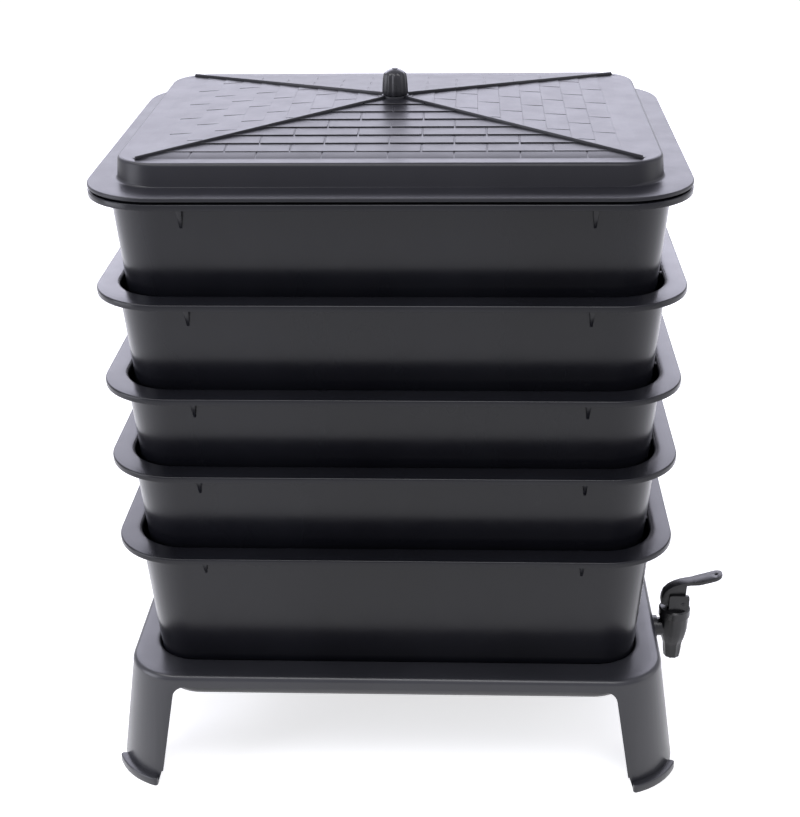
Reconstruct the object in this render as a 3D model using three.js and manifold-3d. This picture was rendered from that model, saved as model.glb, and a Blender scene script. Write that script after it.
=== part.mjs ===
// Stacking wormery: a stand with a sump, five nesting trays, a lid and a lever tap.
// Millimetres, +Z up. The origin is on the ground, under the middle of the whole object.
import * as THREE from 'three';
import { mergeVertices } from 'three/addons/utils/BufferGeometryUtils.js';
import Module from 'manifold-3d';

const wasm = await Module();
wasm.setup();

// Working allowances
const overrun = 5;
const seatGap = 0.3;

// Facets
const cornerSteps = 6;
const roundSteps = 2;
const ringSides = 24;

// Sump: its mouth in the platform, which sets the width and depth of everything else
const sumpWidth = 448;
const sumpDepth = 342;
const sumpCorner = 40;

// Tray: it nests in the sump, and its rim stands out from its wall
const trayHeight = 135;
const trayNest = 12;
const trayClearance = 1.57;
const trayCornerMore = 7;
const rimShelfAcross = 16.5;
const rimShelfAlong = 21.5;
const rimCornerMore = 16;
const trayWall = 2.5;
const trayFloor = 2.5;
const trayFloorRound = 7;
const trayMouthRound = 3.5;
const draftShare = 0.09;
const lipHeight = 5.4;
const lipWall = 2.6;
const lipRound = 1.6;

// Gussets under the tray rim, and the stops inside that carry the tray above
const gussetSetbackAcross = 65.5;
const gussetSetbackAlong = 66.5;
const gussetTop = 6;
const gussetFoot = 2.4;
const gussetOut = 9;
const gussetDrop = 26;
const stopWall = 3;
const stopReach = 20;

// Height of each tray's stops above the underside of its floor, lowest tray first
const stopHeightFifth = 80.6;
const stopHeightFourth = 72.9;
const stopHeightThird = 84.1;
const stopHeightSecond = 85.2;
const stopHeightFirst = 81;

// Drain and worm holes in the tray floor
const holeRadius = 4;
const holePitchAcross = 60;
const holePitchAlong = 64;
const holeColumnCount = 6;
const holeRowCount = 4;
const holeSides = 6;

// Stand: platform, sump and legs in one moulding
const standHeight = 105.6;
const platformShelfAcross = 22;
const platformShelfAlong = 31;
const platformCornerMore = 8;
const platformPlate = 3;
const platformEdgeRound = 4.5;
const sumpFall = 44.6;
const sumpWall = 2.6;
const sumpFloorRound = 14;
const sumpMouthRound = 2.5;

// Legs: curved corner shells that spread towards the feet
const legSpreadAcross = 13.7;
const legSpreadAlong = 20.6;
const legCornerMore = 16;
const legWall = 3;
const footToe = 6.2;
const footHeight = 8;
const toeSetbackAcross = 2.5;
const toeSetbackAlong = 19;
const apronHeight = 10.6;
const legTopAcross = 44.8;
const legFootAcross = 43.2;
const legTopAlong = 43;
const legFootAlong = 60.6;
const windowRound = 9;

// Lid
const lidEdge = 3.2;
const lidEdgeRound = 1.2;
const lidBeadHeight = 2.1;
const lidBeadWidth = 3;
const lidBeadSetback = 8;
const lidShelfAcross = 24;
const lidShelfAlong = 31;
const lidCornerLess = 25;
const lidPlateauRise = 19.2;
const lidPlateauDraft = 1.5;
const lidPlateauRound = 3;
const lidCoveRound = 2.5;
const lidShell = 2.5;
const lidSkirtDrop = 9;
const lidSkirtGap = 1.2;
const hipMarginAcross = 19.3;
const hipMarginAlong = 14.3;
const hipCorner = 2;
const hipRise = 15.6;
const hipRibWidth = 3.2;
const hipRibHeight = 2.6;

// Lid knob and its fixing
const knobFootRadius = 11.6;
const knobTopRadius = 9.8;
const knobHeight = 22.6;
const knobDome = 2.8;
const knobFluteDepth = 0.7;
const knobFluteCount = 12;
const knobFluteSteps = 3;
const nippleRadius = 2.4;
const nippleHeight = 0.8;
const knobPadRadius = 13;
const knobPadHeight = 1.4;
const knobScrewRadius = 2.1;
const knobScrewLength = 17;
const knobScrewHeadRadius = 4.2;
const knobScrewHeadHeight = 2.6;
const screwHeadTopShare = 0.8;
const screwHeadSideShare = 0.6;
const washerRadius = 8;
const washerThickness = 1.2;

// The knob's barrel and dome: height, and radius
const knobBarrelShares = [
  [0, 0.94],
  [0.08, 1],
  [0.35, 1],
  [0.7, 1],
  [0.93, 1],
  [1, 0.93],
];
const knobDomeShares = [
  [0.5, 0.7],
  [0.9, 0.36],
];

// Tap: the shank runs along X through the sump wall, the valve stands upright
const tapStandOff = 34.7;
const tapForward = 67;
const tapInletRise = 20;
const tapBossRadius = 18;
const tapBossOut = 10;
const tapPadRadius = 11.8;
const tapPadIn = 4;
const shankRadius = 8;
const shankBore = 5;
const shankTail = 3;
const flangeRadius = 16;
const flangeThickness = 3;
const inletNeckRadius = 9;
const inletCollarRadius = 11;
const inletCollarSetback = 1.4;
const outerGasketRadius = 14;
const innerGasketRadius = 10.6;
const gasketThickness = 2;
const nutAcrossFlats = 22;
const nutThickness = 8;
const nutSides = 6;

// Tap body, upright, with its heights counted from the shank's axis
const tapBodyRadius = 14;
const spoutBore = 5.6;
const spoutDrop = 31.8;
const shoulderRise = 14;
const tapFluteCount = 10;
const tapFluteSteps = 3;
const tapFluteDepth = 0.7;
const collarNeckRadius = 12.2;
const collarNeckHeight = 4.8;
const chamberRadius = 9.4;
const valveSeatDrop = 10.6;
const valveConeHeight = 6;

// The body's outline: height from the spout's foot to the shoulder, and radius
const tapBodyShares = [
  [0, 0.571],
  [0.16, 0.632],
  [0.31, 0.668],
  [0.38, 0.729],
  [0.49, 0.857],
  [0.65, 0.964],
  [0.83, 1],
  [1, 1],
];

// Tap bonnet: a round collar with two lugs that carry the lever
const bonnetCollarRadius = 15.2;
const bonnetCollarHeight = 8.8;
const bonnetCollarRound = 1.4;
const lugWall = 3;
const lugGap = 0.4;
const lugBack = 6.6;
const frontLugForward = 12.6;
const backLugForward = 9.6;
const lugHeight = 16.4;
const lugRound = 2.4;

// Valve stem, its seat, spring and the two pins
const stemRadius = 2.5;
const stemHeadWidth = 7.6;
const stemHeadDepth = 6.4;
const stemHeadHeight = 7;
const stemCollarRadius = 6.4;
const stemCollarHeight = 1.6;
const stemCollarRise = 2;
const seatRadius = 7.6;
const seatHeight = 6;
const seatSocket = 4;
const seatLift = 0.5;
const springRadius = 4.4;
const springWire = 0.9;
const springTurnCount = 5;
const springTurnSteps = 9;
const springSides = 5;
const pinRadius = 1.25;
const pinClearance = 0.45;
const pinRise = 7.9;
const pivotForward = 6.5;

// Tap lever: a curved band with two cheeks that straddle the stem
const leverThickness = 3.4;
const leverRootWidth = 11.8;
const leverPaddleWidth = 15.6;
const leverPaddleStart = 11;
const leverPaddleFull = 25;
const leverReach = 44;
const leverHeelDrop = 2.5;
const leverTipRise = 28.3;
const leverEyeRadius = 1.5;
const leverEyeSetback = 6;
const leverSteps = 12;
const cheekWall = 2.3;
const cheekForward = 9.4;
const cheekBack = 4.5;
const cheekDrop = 6.6;
const cheekCorner = 2.8;

// The lever's middle line: reach from the stem, and rise from heel to tip
const leverPathShares = [
  [-0.28, 0],
  [-0.255, 0.3],
  [-0.18, 0.46],
  [-0.045, 0.595],
  [0.114, 0.683],
  [0.273, 0.73],
  [0.432, 0.766],
  [0.636, 0.842],
  [0.818, 0.924],
  [1, 1],
];

// Colours
const blackPlastic = new THREE.Color(0.028, 0.028, 0.033);
const tapPlastic = new THREE.Color(0.018, 0.018, 0.02);
const rubberGrey = new THREE.Color(0.05, 0.05, 0.05);
const steelGrey = new THREE.Color(0.6, 0.6, 0.6);

const finish = (color, roughness, metalness = 0) => (
  new THREE.MeshStandardMaterial({ color, roughness, metalness })
);

// A rounded rectangle seen from above
const plan = (width, depth, corner) => ({ halfWidth: width / 2, halfDepth: depth / 2, corner });

// The same rectangle drawn in on all sides, corners included
const drawIn = (shape, by) => ({
  halfWidth: shape.halfWidth - by,
  halfDepth: shape.halfDepth - by,
  corner: shape.corner - by,
});

// The rectangle that lies a share of the way from one to another
const between = (from, to, share) => ({
  halfWidth: from.halfWidth + (to.halfWidth - from.halfWidth) * share,
  halfDepth: from.halfDepth + (to.halfDepth - from.halfDepth) * share,
  corner: from.corner + (to.corner - from.corner) * share,
});

// Points round a rounded rectangle at one height, anticlockwise from above
function rectangleLoop({ halfWidth, halfDepth, corner }, z) {
  const points = [];
  const quarters = [[1, 1], [-1, 1], [-1, -1], [1, -1]];
  quarters.forEach(([right, back], quarter) => {
    for (let step = 0; step <= cornerSteps; step += 1) {
      const angle = (quarter + step / cornerSteps) * Math.PI / 2;
      const x = right * (halfWidth - corner) + corner * Math.cos(angle);
      const y = back * (halfDepth - corner) + corner * Math.sin(angle);
      points.push(new THREE.Vector3(x, y, z));
    }
  });
  return points;
}

// Points round a fluted circle at one height
function flutedLoop(radius, fluteDepth, fluteCount, fluteSteps, z) {
  const sides = fluteCount * fluteSteps;
  const points = [];
  for (let side = 0; side < sides; side += 1) {
    const angle = side / sides * Math.PI * 2;
    const hollow = (1 - Math.cos(fluteCount * angle)) / 2;
    const reach = radius - fluteDepth * hollow;
    points.push(new THREE.Vector3(reach * Math.cos(angle), reach * Math.sin(angle), z));
  }
  return points;
}

// Points round an upright box between two depths, for fins and stops
function finLoop(x, halfThickness, near, far, z) {
  const low = Math.min(near, far);
  const high = Math.max(near, far);
  return [
    new THREE.Vector3(x + halfThickness, low, z),
    new THREE.Vector3(x + halfThickness, high, z),
    new THREE.Vector3(x - halfThickness, high, z),
    new THREE.Vector3(x - halfThickness, low, z),
  ];
}

// A closed body through a stack of loops. Each end closes on a middle point.
function loftGeometry(loops, firstMiddle, lastMiddle) {
  const count = loops[0].length;
  const points = [...loops.flat(), firstMiddle, lastMiddle];
  const triangles = [];
  const first = points.length - 2;
  const last = points.length - 1;
  const top = (loops.length - 1) * count;
  for (let side = 0; side < count; side += 1) {
    const next = (side + 1) % count;
    triangles.push(first, next, side);
    triangles.push(last, top + side, top + next);
    for (let ring = 0; ring < loops.length - 1; ring += 1) {
      const lower = ring * count;
      const upper = lower + count;
      triangles.push(lower + side, lower + next, upper + next);
      triangles.push(lower + side, upper + next, upper + side);
    }
  }
  const geometry = new THREE.BufferGeometry().setFromPoints(points);
  geometry.setIndex(triangles);
  return geometry;
}

// The middle of a loop, for an end that is flat
function middle(loop) {
  const sum = loop.reduce((total, point) => total.add(point), new THREE.Vector3());
  return sum.divideScalar(loop.length);
}

const loft = (loops) => loftGeometry(loops, middle(loops[0]), middle(loops[loops.length - 1]));

// Loops of a rounded edge between two places of a wall, each given as inset and height
function roundedEdge(shape, from, to, bulgeInset, bulgeHeight, steps = roundSteps) {
  const loops = [];
  for (let step = 0; step <= steps; step += 1) {
    const angle = step / steps * Math.PI / 2;
    const across = bulgeInset ? 1 - Math.cos(angle) : Math.sin(angle);
    const along = bulgeHeight ? 1 - Math.cos(angle) : Math.sin(angle);
    const inset = from[0] + (to[0] - from[0]) * across;
    const z = from[1] + (to[1] - from[1]) * along;
    loops.push(rectangleLoop(drawIn(shape, inset), z));
  }
  return loops;
}

// A solid for joining and cutting
function solid(geometry) {
  const bare = geometry.clone();
  bare.deleteAttribute('normal');
  bare.deleteAttribute('uv');
  const merged = mergeVertices(bare);
  const kept = [];
  const index = merged.index.array;
  for (let i = 0; i < index.length; i += 3) {
    const [a, b, c] = [index[i], index[i + 1], index[i + 2]];
    if (a !== b && b !== c && c !== a) {
      kept.push(a, b, c);
    }
  }
  return new wasm.Manifold(new wasm.Mesh({
    numProp: 3,
    vertProperties: new Float32Array(merged.attributes.position.array),
    triVerts: new Uint32Array(kept),
  }));
}

function geometryOf(body) {
  const mesh = body.getMesh();
  const geometry = new THREE.BufferGeometry();
  geometry.setAttribute('position', new THREE.BufferAttribute(mesh.vertProperties, 3));
  geometry.setIndex(new THREE.BufferAttribute(mesh.triVerts, 1));
  return geometry;
}

const joined = (bodies) => bodies.reduce((whole, body) => whole.add(body));

// A ring, disc or turned shape about the Z axis, from points of radius and height
function turned(profile, sides = ringSides) {
  const points = profile.map(([radius, z]) => new THREE.Vector2(radius, z));
  const geometry = new THREE.LatheGeometry(points, sides);
  geometry.rotateX(Math.PI / 2);
  return geometry;
}

// A disc or ring of plain section, bored when the bore is over zero
function disc(radius, low, high, bore = 0, sides = ringSides) {
  const profile = bore > 0
    ? [[bore, low], [radius, low], [radius, high], [bore, high], [bore, low]]
    : [[0, low], [radius, low], [radius, high], [0, high]];
  return turned(profile, sides);
}

// The same, lying along X, between two places on that axis
function discAlongX(radius, from, to, bore = 0, sides = ringSides) {
  const geometry = disc(radius, from, to, bore, sides);
  geometry.rotateY(Math.PI / 2);
  return geometry;
}

// A shape drawn in X and Z, as thick as given, with its middle at one depth
function plateXZ(shape, thickness, y, curveSteps = roundSteps * 2) {
  const geometry = new THREE.ExtrudeGeometry(shape, {
    depth: thickness,
    bevelEnabled: false,
    curveSegments: curveSteps,
  });
  geometry.rotateX(Math.PI / 2);
  geometry.translate(0, y + thickness / 2, 0);
  return geometry;
}

const group = new THREE.Group();

function place(name, geometry, material, parent) {
  const mesh = new THREE.Mesh(geometry, material);
  mesh.name = name;
  parent.add(mesh);
  return mesh;
}

const moulded = finish(blackPlastic, 0.42);
const tapFinish = finish(tapPlastic, 0.34);
const rubber = finish(rubberGrey, 0.85);
const steel = finish(steelGrey, 0.3, 1);

// Widths and depths that follow from the sump outwards
const trayOverSump = draftShare * (trayHeight - trayNest) - trayClearance;
const trayWallWidth = sumpWidth + trayOverSump * 2;
const trayWallDepth = sumpDepth + trayOverSump * 2;
const trayWallCorner = sumpCorner + trayCornerMore;
const rimWidth = trayWallWidth + rimShelfAcross * 2;
const rimDepth = trayWallDepth + rimShelfAlong * 2;
const rimCorner = trayWallCorner + rimCornerMore;
const gussetAcross = trayWallWidth / 2 - gussetSetbackAcross;
const gussetAlong = trayWallDepth / 2 - gussetSetbackAlong;
const lidPlateauWidth = rimWidth - lidShelfAcross * 2;
const lidPlateauDepth = rimDepth - lidShelfAlong * 2;
const lidPlateauCorner = rimCorner - lidCornerLess;
const hipWidth = lidPlateauWidth - hipMarginAcross * 2;
const hipDepth = lidPlateauDepth - hipMarginAlong * 2;
const platformWidth = sumpWidth + platformShelfAcross * 2;
const platformDepth = sumpDepth + platformShelfAlong * 2;
const platformCorner = sumpCorner + platformCornerMore;
const legFootWidth = platformWidth + legSpreadAcross * 2;
const legFootDepth = platformDepth + legSpreadAlong * 2;
const legFootCorner = platformCorner + legCornerMore;
const windowTopWidth = platformWidth - legTopAcross * 2;
const windowFootWidth = legFootWidth - legFootAcross * 2;
const windowTopDepth = platformDepth - legTopAlong * 2;
const windowFootDepth = legFootDepth - legFootAlong * 2;
const toeGapWidth = windowFootWidth + toeSetbackAcross * 2;
const toeGapDepth = windowFootDepth + toeSetbackAlong * 2;

// Places that follow from the sizes
const tapInletHeight = standHeight - sumpFall + tapInletRise;
const bonnetFoot = shoulderRise + seatGap;
const pinHeight = bonnetFoot + bonnetCollarHeight + pinRise;
const leverHeelHeight = pinHeight - leverHeelDrop;
const leverTipHeight = pinHeight + leverTipRise;
const cheekFoot = pinHeight - cheekDrop;
const lowestTrayFloor = standHeight - trayNest;
const sumpFloorUnder = standHeight - sumpFall;
const sumpFloorTop = sumpFloorUnder + sumpWall;
const stopHeights = [
  stopHeightFifth,
  stopHeightFourth,
  stopHeightThird,
  stopHeightSecond,
  stopHeightFirst,
];
const trayNames = ['tray_5', 'tray_4', 'tray_3', 'tray_2', 'tray_1'];
const rimPlan = plan(rimWidth, rimDepth, rimCorner);
const trayPlan = plan(trayWallWidth, trayWallDepth, trayWallCorner);
const platformPlan = plan(platformWidth, platformDepth, platformCorner);
const legPlan = plan(legFootWidth, legFootDepth, legFootCorner);
const sumpPlan = plan(sumpWidth, sumpDepth, sumpCorner);

// Stand: platform, sump, apron and legs
function standSolid() {
  const underside = standHeight - platformPlate;
  const skirtTop = standHeight - platformEdgeRound;
  const sumpOuter = drawIn(sumpPlan, -sumpWall);
  const draftAt = (z) => draftShare * (standHeight - z);
  const skirtAt = (z) => between(legPlan, platformPlan, z / skirtTop);
  const footPlan = drawIn(legPlan, -footToe);
  const innerRound = sumpFloorRound - sumpWall;
  const bottomInset = draftAt(sumpFloorUnder);

  const loops = [
    ...roundedEdge(
      sumpOuter,
      [bottomInset + sumpFloorRound, sumpFloorUnder],
      [bottomInset, sumpFloorUnder + sumpFloorRound],
      false,
      true,
    ),
    rectangleLoop(drawIn(sumpOuter, draftAt(underside)), underside),
    rectangleLoop(drawIn(skirtAt(underside), legWall), underside),
    rectangleLoop(drawIn(legPlan, legWall), 0),
    rectangleLoop(legPlan, 0),
    ...roundedEdge(platformPlan, [0, skirtTop], [platformEdgeRound, standHeight], true, false),
    ...roundedEdge(
      sumpPlan,
      [-sumpMouthRound, standHeight],
      [draftAt(standHeight - sumpMouthRound), standHeight - sumpMouthRound],
      false,
      true,
    ),
    ...roundedEdge(
      sumpPlan,
      [bottomInset, sumpFloorTop + innerRound],
      [bottomInset + innerRound, sumpFloorTop],
      true,
      false,
    ),
  ];
  let body = solid(loft(loops));

  // Toes: a ledge round the foot of each leg
  const toeRing = solid(loft([rectangleLoop(footPlan, 0), rectangleLoop(footPlan, footHeight)]));
  const insideLegs = drawIn(legPlan, legWall / 2);
  const toeHollow = solid(loft([
    rectangleLoop(insideLegs, -overrun),
    rectangleLoop(insideLegs, 0),
    rectangleLoop(drawIn(skirtAt(footHeight), legWall / 2), footHeight),
    rectangleLoop(drawIn(skirtAt(footHeight), legWall / 2), footHeight + overrun),
  ]));
  const throughWidth = (footPlan.halfWidth + overrun) * 2;
  const throughDepth = (footPlan.halfDepth + overrun) * 2;
  const throughHeight = (footHeight + overrun) * 2;
  const gapAcross = solid(new THREE.BoxGeometry(toeGapWidth, throughDepth, throughHeight));
  const gapAlong = solid(new THREE.BoxGeometry(throughWidth, toeGapDepth, throughHeight));
  const toes = toeRing.subtract(toeHollow).subtract(gapAcross).subtract(gapAlong);

  // Gaps between the legs, on the front and back and on the two sides
  const apronFoot = standHeight - apronHeight;
  const windowShape = (topWidth, footWidth) => {
    const lean = (footWidth - topWidth) / 2 / apronFoot;
    const lowHalf = footWidth / 2 + lean * overrun;
    const topHalf = topWidth / 2;
    const shape = new THREE.Shape();
    shape.moveTo(-lowHalf, -overrun);
    shape.lineTo(lowHalf, -overrun);
    shape.lineTo(topHalf + lean * windowRound, apronFoot - windowRound);
    shape.quadraticCurveTo(topHalf, apronFoot, topHalf - windowRound, apronFoot);
    shape.lineTo(-topHalf + windowRound, apronFoot);
    shape.quadraticCurveTo(-topHalf, apronFoot, -topHalf - lean * windowRound, apronFoot - windowRound);
    return shape;
  };
  const frontInner = (sumpOuter.halfDepth + platformPlan.halfDepth) / 2;
  const frontOuter = footPlan.halfDepth + overrun;
  const sideInner = (sumpOuter.halfWidth + platformPlan.halfWidth) / 2;
  const sideOuter = footPlan.halfWidth + overrun;
  for (const side of [-1, 1]) {
    const front = plateXZ(
      windowShape(windowTopWidth, windowFootWidth),
      frontOuter - frontInner,
      side * (frontOuter + frontInner) / 2,
    );
    body = body.subtract(solid(front));
    const flank = plateXZ(
      windowShape(windowTopDepth, windowFootDepth),
      sideOuter - sideInner,
      side * (sideOuter + sideInner) / 2,
    );
    flank.rotateZ(Math.PI / 2);
    body = body.subtract(solid(flank));
  }

  body = body.add(toes);

  // Stops in the sump that carry the lowest tray
  const wallMiddle = (z) => sumpPlan.halfDepth + sumpWall / 2 - draftAt(z);
  const trayEdge = trayPlan.halfDepth - draftShare * trayHeight;
  for (const across of [-gussetAcross, gussetAcross]) {
    for (const side of [-1, 1]) {
      const near = side * (trayEdge - stopReach);
      const foot = sumpFloorUnder + sumpFloorRound;
      const inFloor = sumpFloorTop - sumpWall / 2;
      const finAt = (far, z) => finLoop(across, stopWall / 2, near, side * far, z);
      body = body.add(solid(loft([
        finAt(wallMiddle(foot) - sumpFloorRound, inFloor),
        finAt(wallMiddle(foot), foot),
        finAt(wallMiddle(lowestTrayFloor), lowestTrayFloor),
      ])));
    }
  }

  // Boss for the tap, and its hole
  const wallOut = sumpOuter.halfWidth - draftAt(tapInletHeight);
  const bossOuter = wallOut + tapBossOut;
  const padInner = wallOut - sumpWall - tapPadIn;
  const boss = joined([
    solid(discAlongX(tapBossRadius, wallOut - sumpWall / 2, bossOuter)),
    solid(discAlongX(tapPadRadius, padInner, bossOuter)),
  ]);
  const hole = solid(discAlongX(shankRadius + seatGap, padInner - overrun, bossOuter + overrun));
  body = body.add(boss.translate([0, -tapForward, tapInletHeight]));
  body = body.subtract(hole.translate([0, -tapForward, tapInletHeight]));
  return { body, bossOuter, padInner };
}

// Tray: rim with a lip, drafted wall, pierced floor, gussets and stops
function traySolid(stopHeight) {
  const draftAt = (z) => draftShare * (trayHeight - z);
  const rimUnder = trayHeight - trayWall;
  const innerRound = trayFloorRound - trayWall;
  const loops = [
    ...roundedEdge(trayPlan, [draftAt(0) + trayFloorRound, 0], [draftAt(0), trayFloorRound], false, true),
    rectangleLoop(trayPlan, rimUnder),
    rectangleLoop(drawIn(rimPlan, lipWall), rimUnder),
    rectangleLoop(drawIn(rimPlan, lipWall), trayHeight - lipHeight),
    rectangleLoop(rimPlan, trayHeight - lipHeight),
    ...roundedEdge(rimPlan, [0, trayHeight - lipRound], [lipRound, trayHeight], true, false, 1),
    ...roundedEdge(
      trayPlan,
      [trayWall - trayMouthRound, trayHeight],
      [trayWall, trayHeight - trayMouthRound],
      false,
      true,
    ),
    rectangleLoop(drawIn(trayPlan, trayWall + draftAt(trayFloor + innerRound)), trayFloor + innerRound),
    rectangleLoop(drawIn(trayPlan, trayWall + draftAt(trayFloor) + innerRound), trayFloor),
  ];
  let body = solid(loft(loops));

  // Wedge gussets under the rim, two on each side
  const wedge = (wallHalf, position) => {
    const root = wallHalf - trayWall / 2;
    const foot = rimUnder - gussetDrop;
    const footRoot = root - draftAt(foot);
    return loft([
      finLoop(position, gussetFoot / 2, footRoot, footRoot + trayWall / 2, foot),
      finLoop(position, gussetTop / 2, root, root + gussetOut, rimUnder + trayWall / 2),
    ]);
  };
  for (const position of [-1, 1]) {
    for (const turn of [0, 2]) {
      const long = wedge(trayPlan.halfDepth, position * gussetAcross);
      long.rotateZ(turn * Math.PI / 2);
      body = body.add(solid(long));
      const short = wedge(trayPlan.halfWidth, position * gussetAlong);
      short.rotateZ((turn + 1) * Math.PI / 2);
      body = body.add(solid(short));
    }
  }

  // Stops on the front and back walls, under the tray above
  const wallMiddle = (z) => trayPlan.halfDepth - trayWall / 2 - draftAt(z);
  const near = trayPlan.halfDepth - draftAt(0) - stopReach;
  for (const across of [-gussetAcross, gussetAcross]) {
    for (const side of [-1, 1]) {
      const foot = trayFloorRound;
      const finAt = (far, z) => finLoop(across, stopWall / 2, side * near, side * far, z);
      body = body.add(solid(loft([
        finAt(wallMiddle(foot) - trayFloorRound, trayFloor / 2),
        finAt(wallMiddle(foot), foot),
        finAt(wallMiddle(stopHeight), stopHeight),
      ])));
    }
  }

  // Holes through the floor
  const holes = [];
  for (let column = 0; column < holeColumnCount; column += 1) {
    for (let row = 0; row < holeRowCount; row += 1) {
      const hole = disc(holeRadius, -overrun, trayFloor + overrun, 0, holeSides);
      hole.translate(
        (column - (holeColumnCount - 1) / 2) * holePitchAcross,
        (row - (holeRowCount - 1) / 2) * holePitchAlong,
        0,
      );
      holes.push(solid(hole));
    }
  }
  return body.subtract(joined(holes));
}

// Lid, with zero height on the rim of the tray that it closes
function lidSolid() {
  const flangeUnder = lidBeadHeight;
  const flangeTop = flangeUnder + lidEdge;
  const plateauTop = flangeTop + lidPlateauRise;
  const peak = plateauTop + hipRise;
  const plateau = plan(lidPlateauWidth, lidPlateauDepth, lidPlateauCorner);
  const hip = plan(hipWidth, hipDepth, hipCorner);
  const skirtPlan = drawIn(trayPlan, trayWall + draftShare * lidSkirtDrop + lidSkirtGap);
  const shellPlan = drawIn(plateau, lidPlateauDraft + lidShell);
  const loops = [
    rectangleLoop(hip, plateauTop - lidShell),
    rectangleLoop(shellPlan, plateauTop - lidShell),
    rectangleLoop(drawIn(skirtPlan, lidShell), flangeUnder),
    rectangleLoop(drawIn(skirtPlan, lidShell), -lidSkirtDrop),
    rectangleLoop(skirtPlan, -lidSkirtDrop),
    rectangleLoop(skirtPlan, flangeUnder),
    rectangleLoop(drawIn(rimPlan, lidBeadSetback + lidBeadWidth), flangeUnder),
    rectangleLoop(drawIn(rimPlan, lidBeadSetback + lidBeadWidth), 0),
    rectangleLoop(drawIn(rimPlan, lidBeadSetback), 0),
    rectangleLoop(drawIn(rimPlan, lidBeadSetback), flangeUnder),
    rectangleLoop(rimPlan, flangeUnder),
    ...roundedEdge(rimPlan, [0, flangeTop - lidEdgeRound], [lidEdgeRound, flangeTop], true, false, 1),
    ...roundedEdge(plateau, [-lidCoveRound, flangeTop], [0, flangeTop + lidCoveRound], false, true),
    ...roundedEdge(
      plateau,
      [lidPlateauDraft, plateauTop - lidPlateauRound],
      [lidPlateauDraft + lidPlateauRound, plateauTop],
      true,
      false,
    ),
    rectangleLoop(hip, plateauTop),
  ];
  const under = new THREE.Vector3(0, 0, peak - lidShell);
  let body = solid(loftGeometry(loops, under, new THREE.Vector3(0, 0, peak)));

  // Raised ribs along the four hips
  const run = Math.hypot(hip.halfWidth, hip.halfDepth);
  const slope = Math.atan2(hipRise, run);
  const length = Math.hypot(run, hipRise) - knobPadRadius;
  const heading = Math.atan2(hip.halfDepth, hip.halfWidth);
  for (const turn of [heading, Math.PI - heading, Math.PI + heading, -heading]) {
    const rib = new THREE.BoxGeometry(length, hipRibWidth, hipRibHeight + lidShell / 2);
    rib.translate(knobPadRadius + length / 2, 0, hipRibHeight / 2 - lidShell / 4);
    rib.rotateY(slope);
    rib.rotateZ(turn);
    rib.translate(0, 0, peak);
    body = body.add(solid(rib));
  }

  // Flat pad under the knob, and the screw hole
  const padTop = peak + knobPadHeight;
  const padUnder = peak - lidShell - knobPadHeight;
  body = body.add(solid(disc(knobPadRadius, padUnder, padTop)));
  body = body.subtract(solid(disc(knobScrewRadius + seatGap, padUnder - overrun, padTop + overrun)));
  return { body, padTop, padUnder };
}

// Knob on the lid, with zero height on its foot: a fluted barrel with a domed end
function knobSolid() {
  const loops = knobBarrelShares.map(([heightShare, radiusShare]) => {
    const taper = knobTopRadius + (knobFootRadius - knobTopRadius) * (1 - heightShare * heightShare);
    return flutedLoop(
      taper * radiusShare,
      knobFluteDepth,
      knobFluteCount,
      knobFluteSteps,
      heightShare * knobHeight,
    );
  });
  for (const [heightShare, radiusShare] of knobDomeShares) {
    loops.push(flutedLoop(
      knobTopRadius * radiusShare,
      0,
      knobFluteCount,
      knobFluteSteps,
      knobHeight + knobDome * heightShare,
    ));
  }
  let body = solid(loft(loops));
  const crown = knobHeight + knobDome;
  body = body.add(solid(disc(nippleRadius, knobHeight, crown + nippleHeight)));
  const socketDepth = knobScrewLength - washerThickness;
  return body.subtract(solid(disc(knobScrewRadius + seatGap, -overrun, socketDepth)));
}

// Screw that holds the knob from under the lid, with zero height under its head's seat
function screwSolid() {
  return solid(turned([
    [0, -knobScrewHeadHeight],
    [knobScrewHeadRadius * screwHeadTopShare, -knobScrewHeadHeight],
    [knobScrewHeadRadius, -knobScrewHeadHeight * screwHeadSideShare],
    [knobScrewHeadRadius, 0],
    [knobScrewRadius, 0],
    [knobScrewRadius, knobScrewLength - knobScrewRadius],
    [0, knobScrewLength],
  ], ringSides / 2));
}

// Tap body: fluted spout and bell, shank with its flange, and the water way inside
function tapBodySolid(flangeSeat, shankEnd) {
  const loops = tapBodyShares.map(([heightShare, radiusShare]) => flutedLoop(
    tapBodyRadius * radiusShare,
    tapFluteDepth,
    tapFluteCount,
    tapFluteSteps,
    (spoutDrop + shoulderRise) * heightShare - spoutDrop,
  ));
  const neckTop = shoulderRise + collarNeckHeight;
  const flangeFace = flangeSeat + flangeThickness;
  const outside = joined([
    solid(loft(loops)),
    solid(disc(collarNeckRadius, 0, neckTop)),
    solid(discAlongX(shankRadius, shankEnd, 0)),
    solid(discAlongX(flangeRadius, flangeSeat, flangeFace)),
    solid(discAlongX(inletNeckRadius, flangeSeat, -chamberRadius)),
    solid(discAlongX(inletCollarRadius, flangeSeat, -bonnetCollarRadius - inletCollarSetback)),
  ]);
  const waterway = joined([
    solid(turned([
      [0, -spoutDrop - overrun],
      [spoutBore, -spoutDrop - overrun],
      [spoutBore, -valveSeatDrop],
      [chamberRadius, valveConeHeight - valveSeatDrop],
      [chamberRadius, neckTop + overrun],
      [0, neckTop + overrun],
    ])),
    solid(discAlongX(shankBore, shankEnd - overrun, 0, 0, ringSides / 2)),
  ]);
  return outside.subtract(waterway);
}

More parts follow.
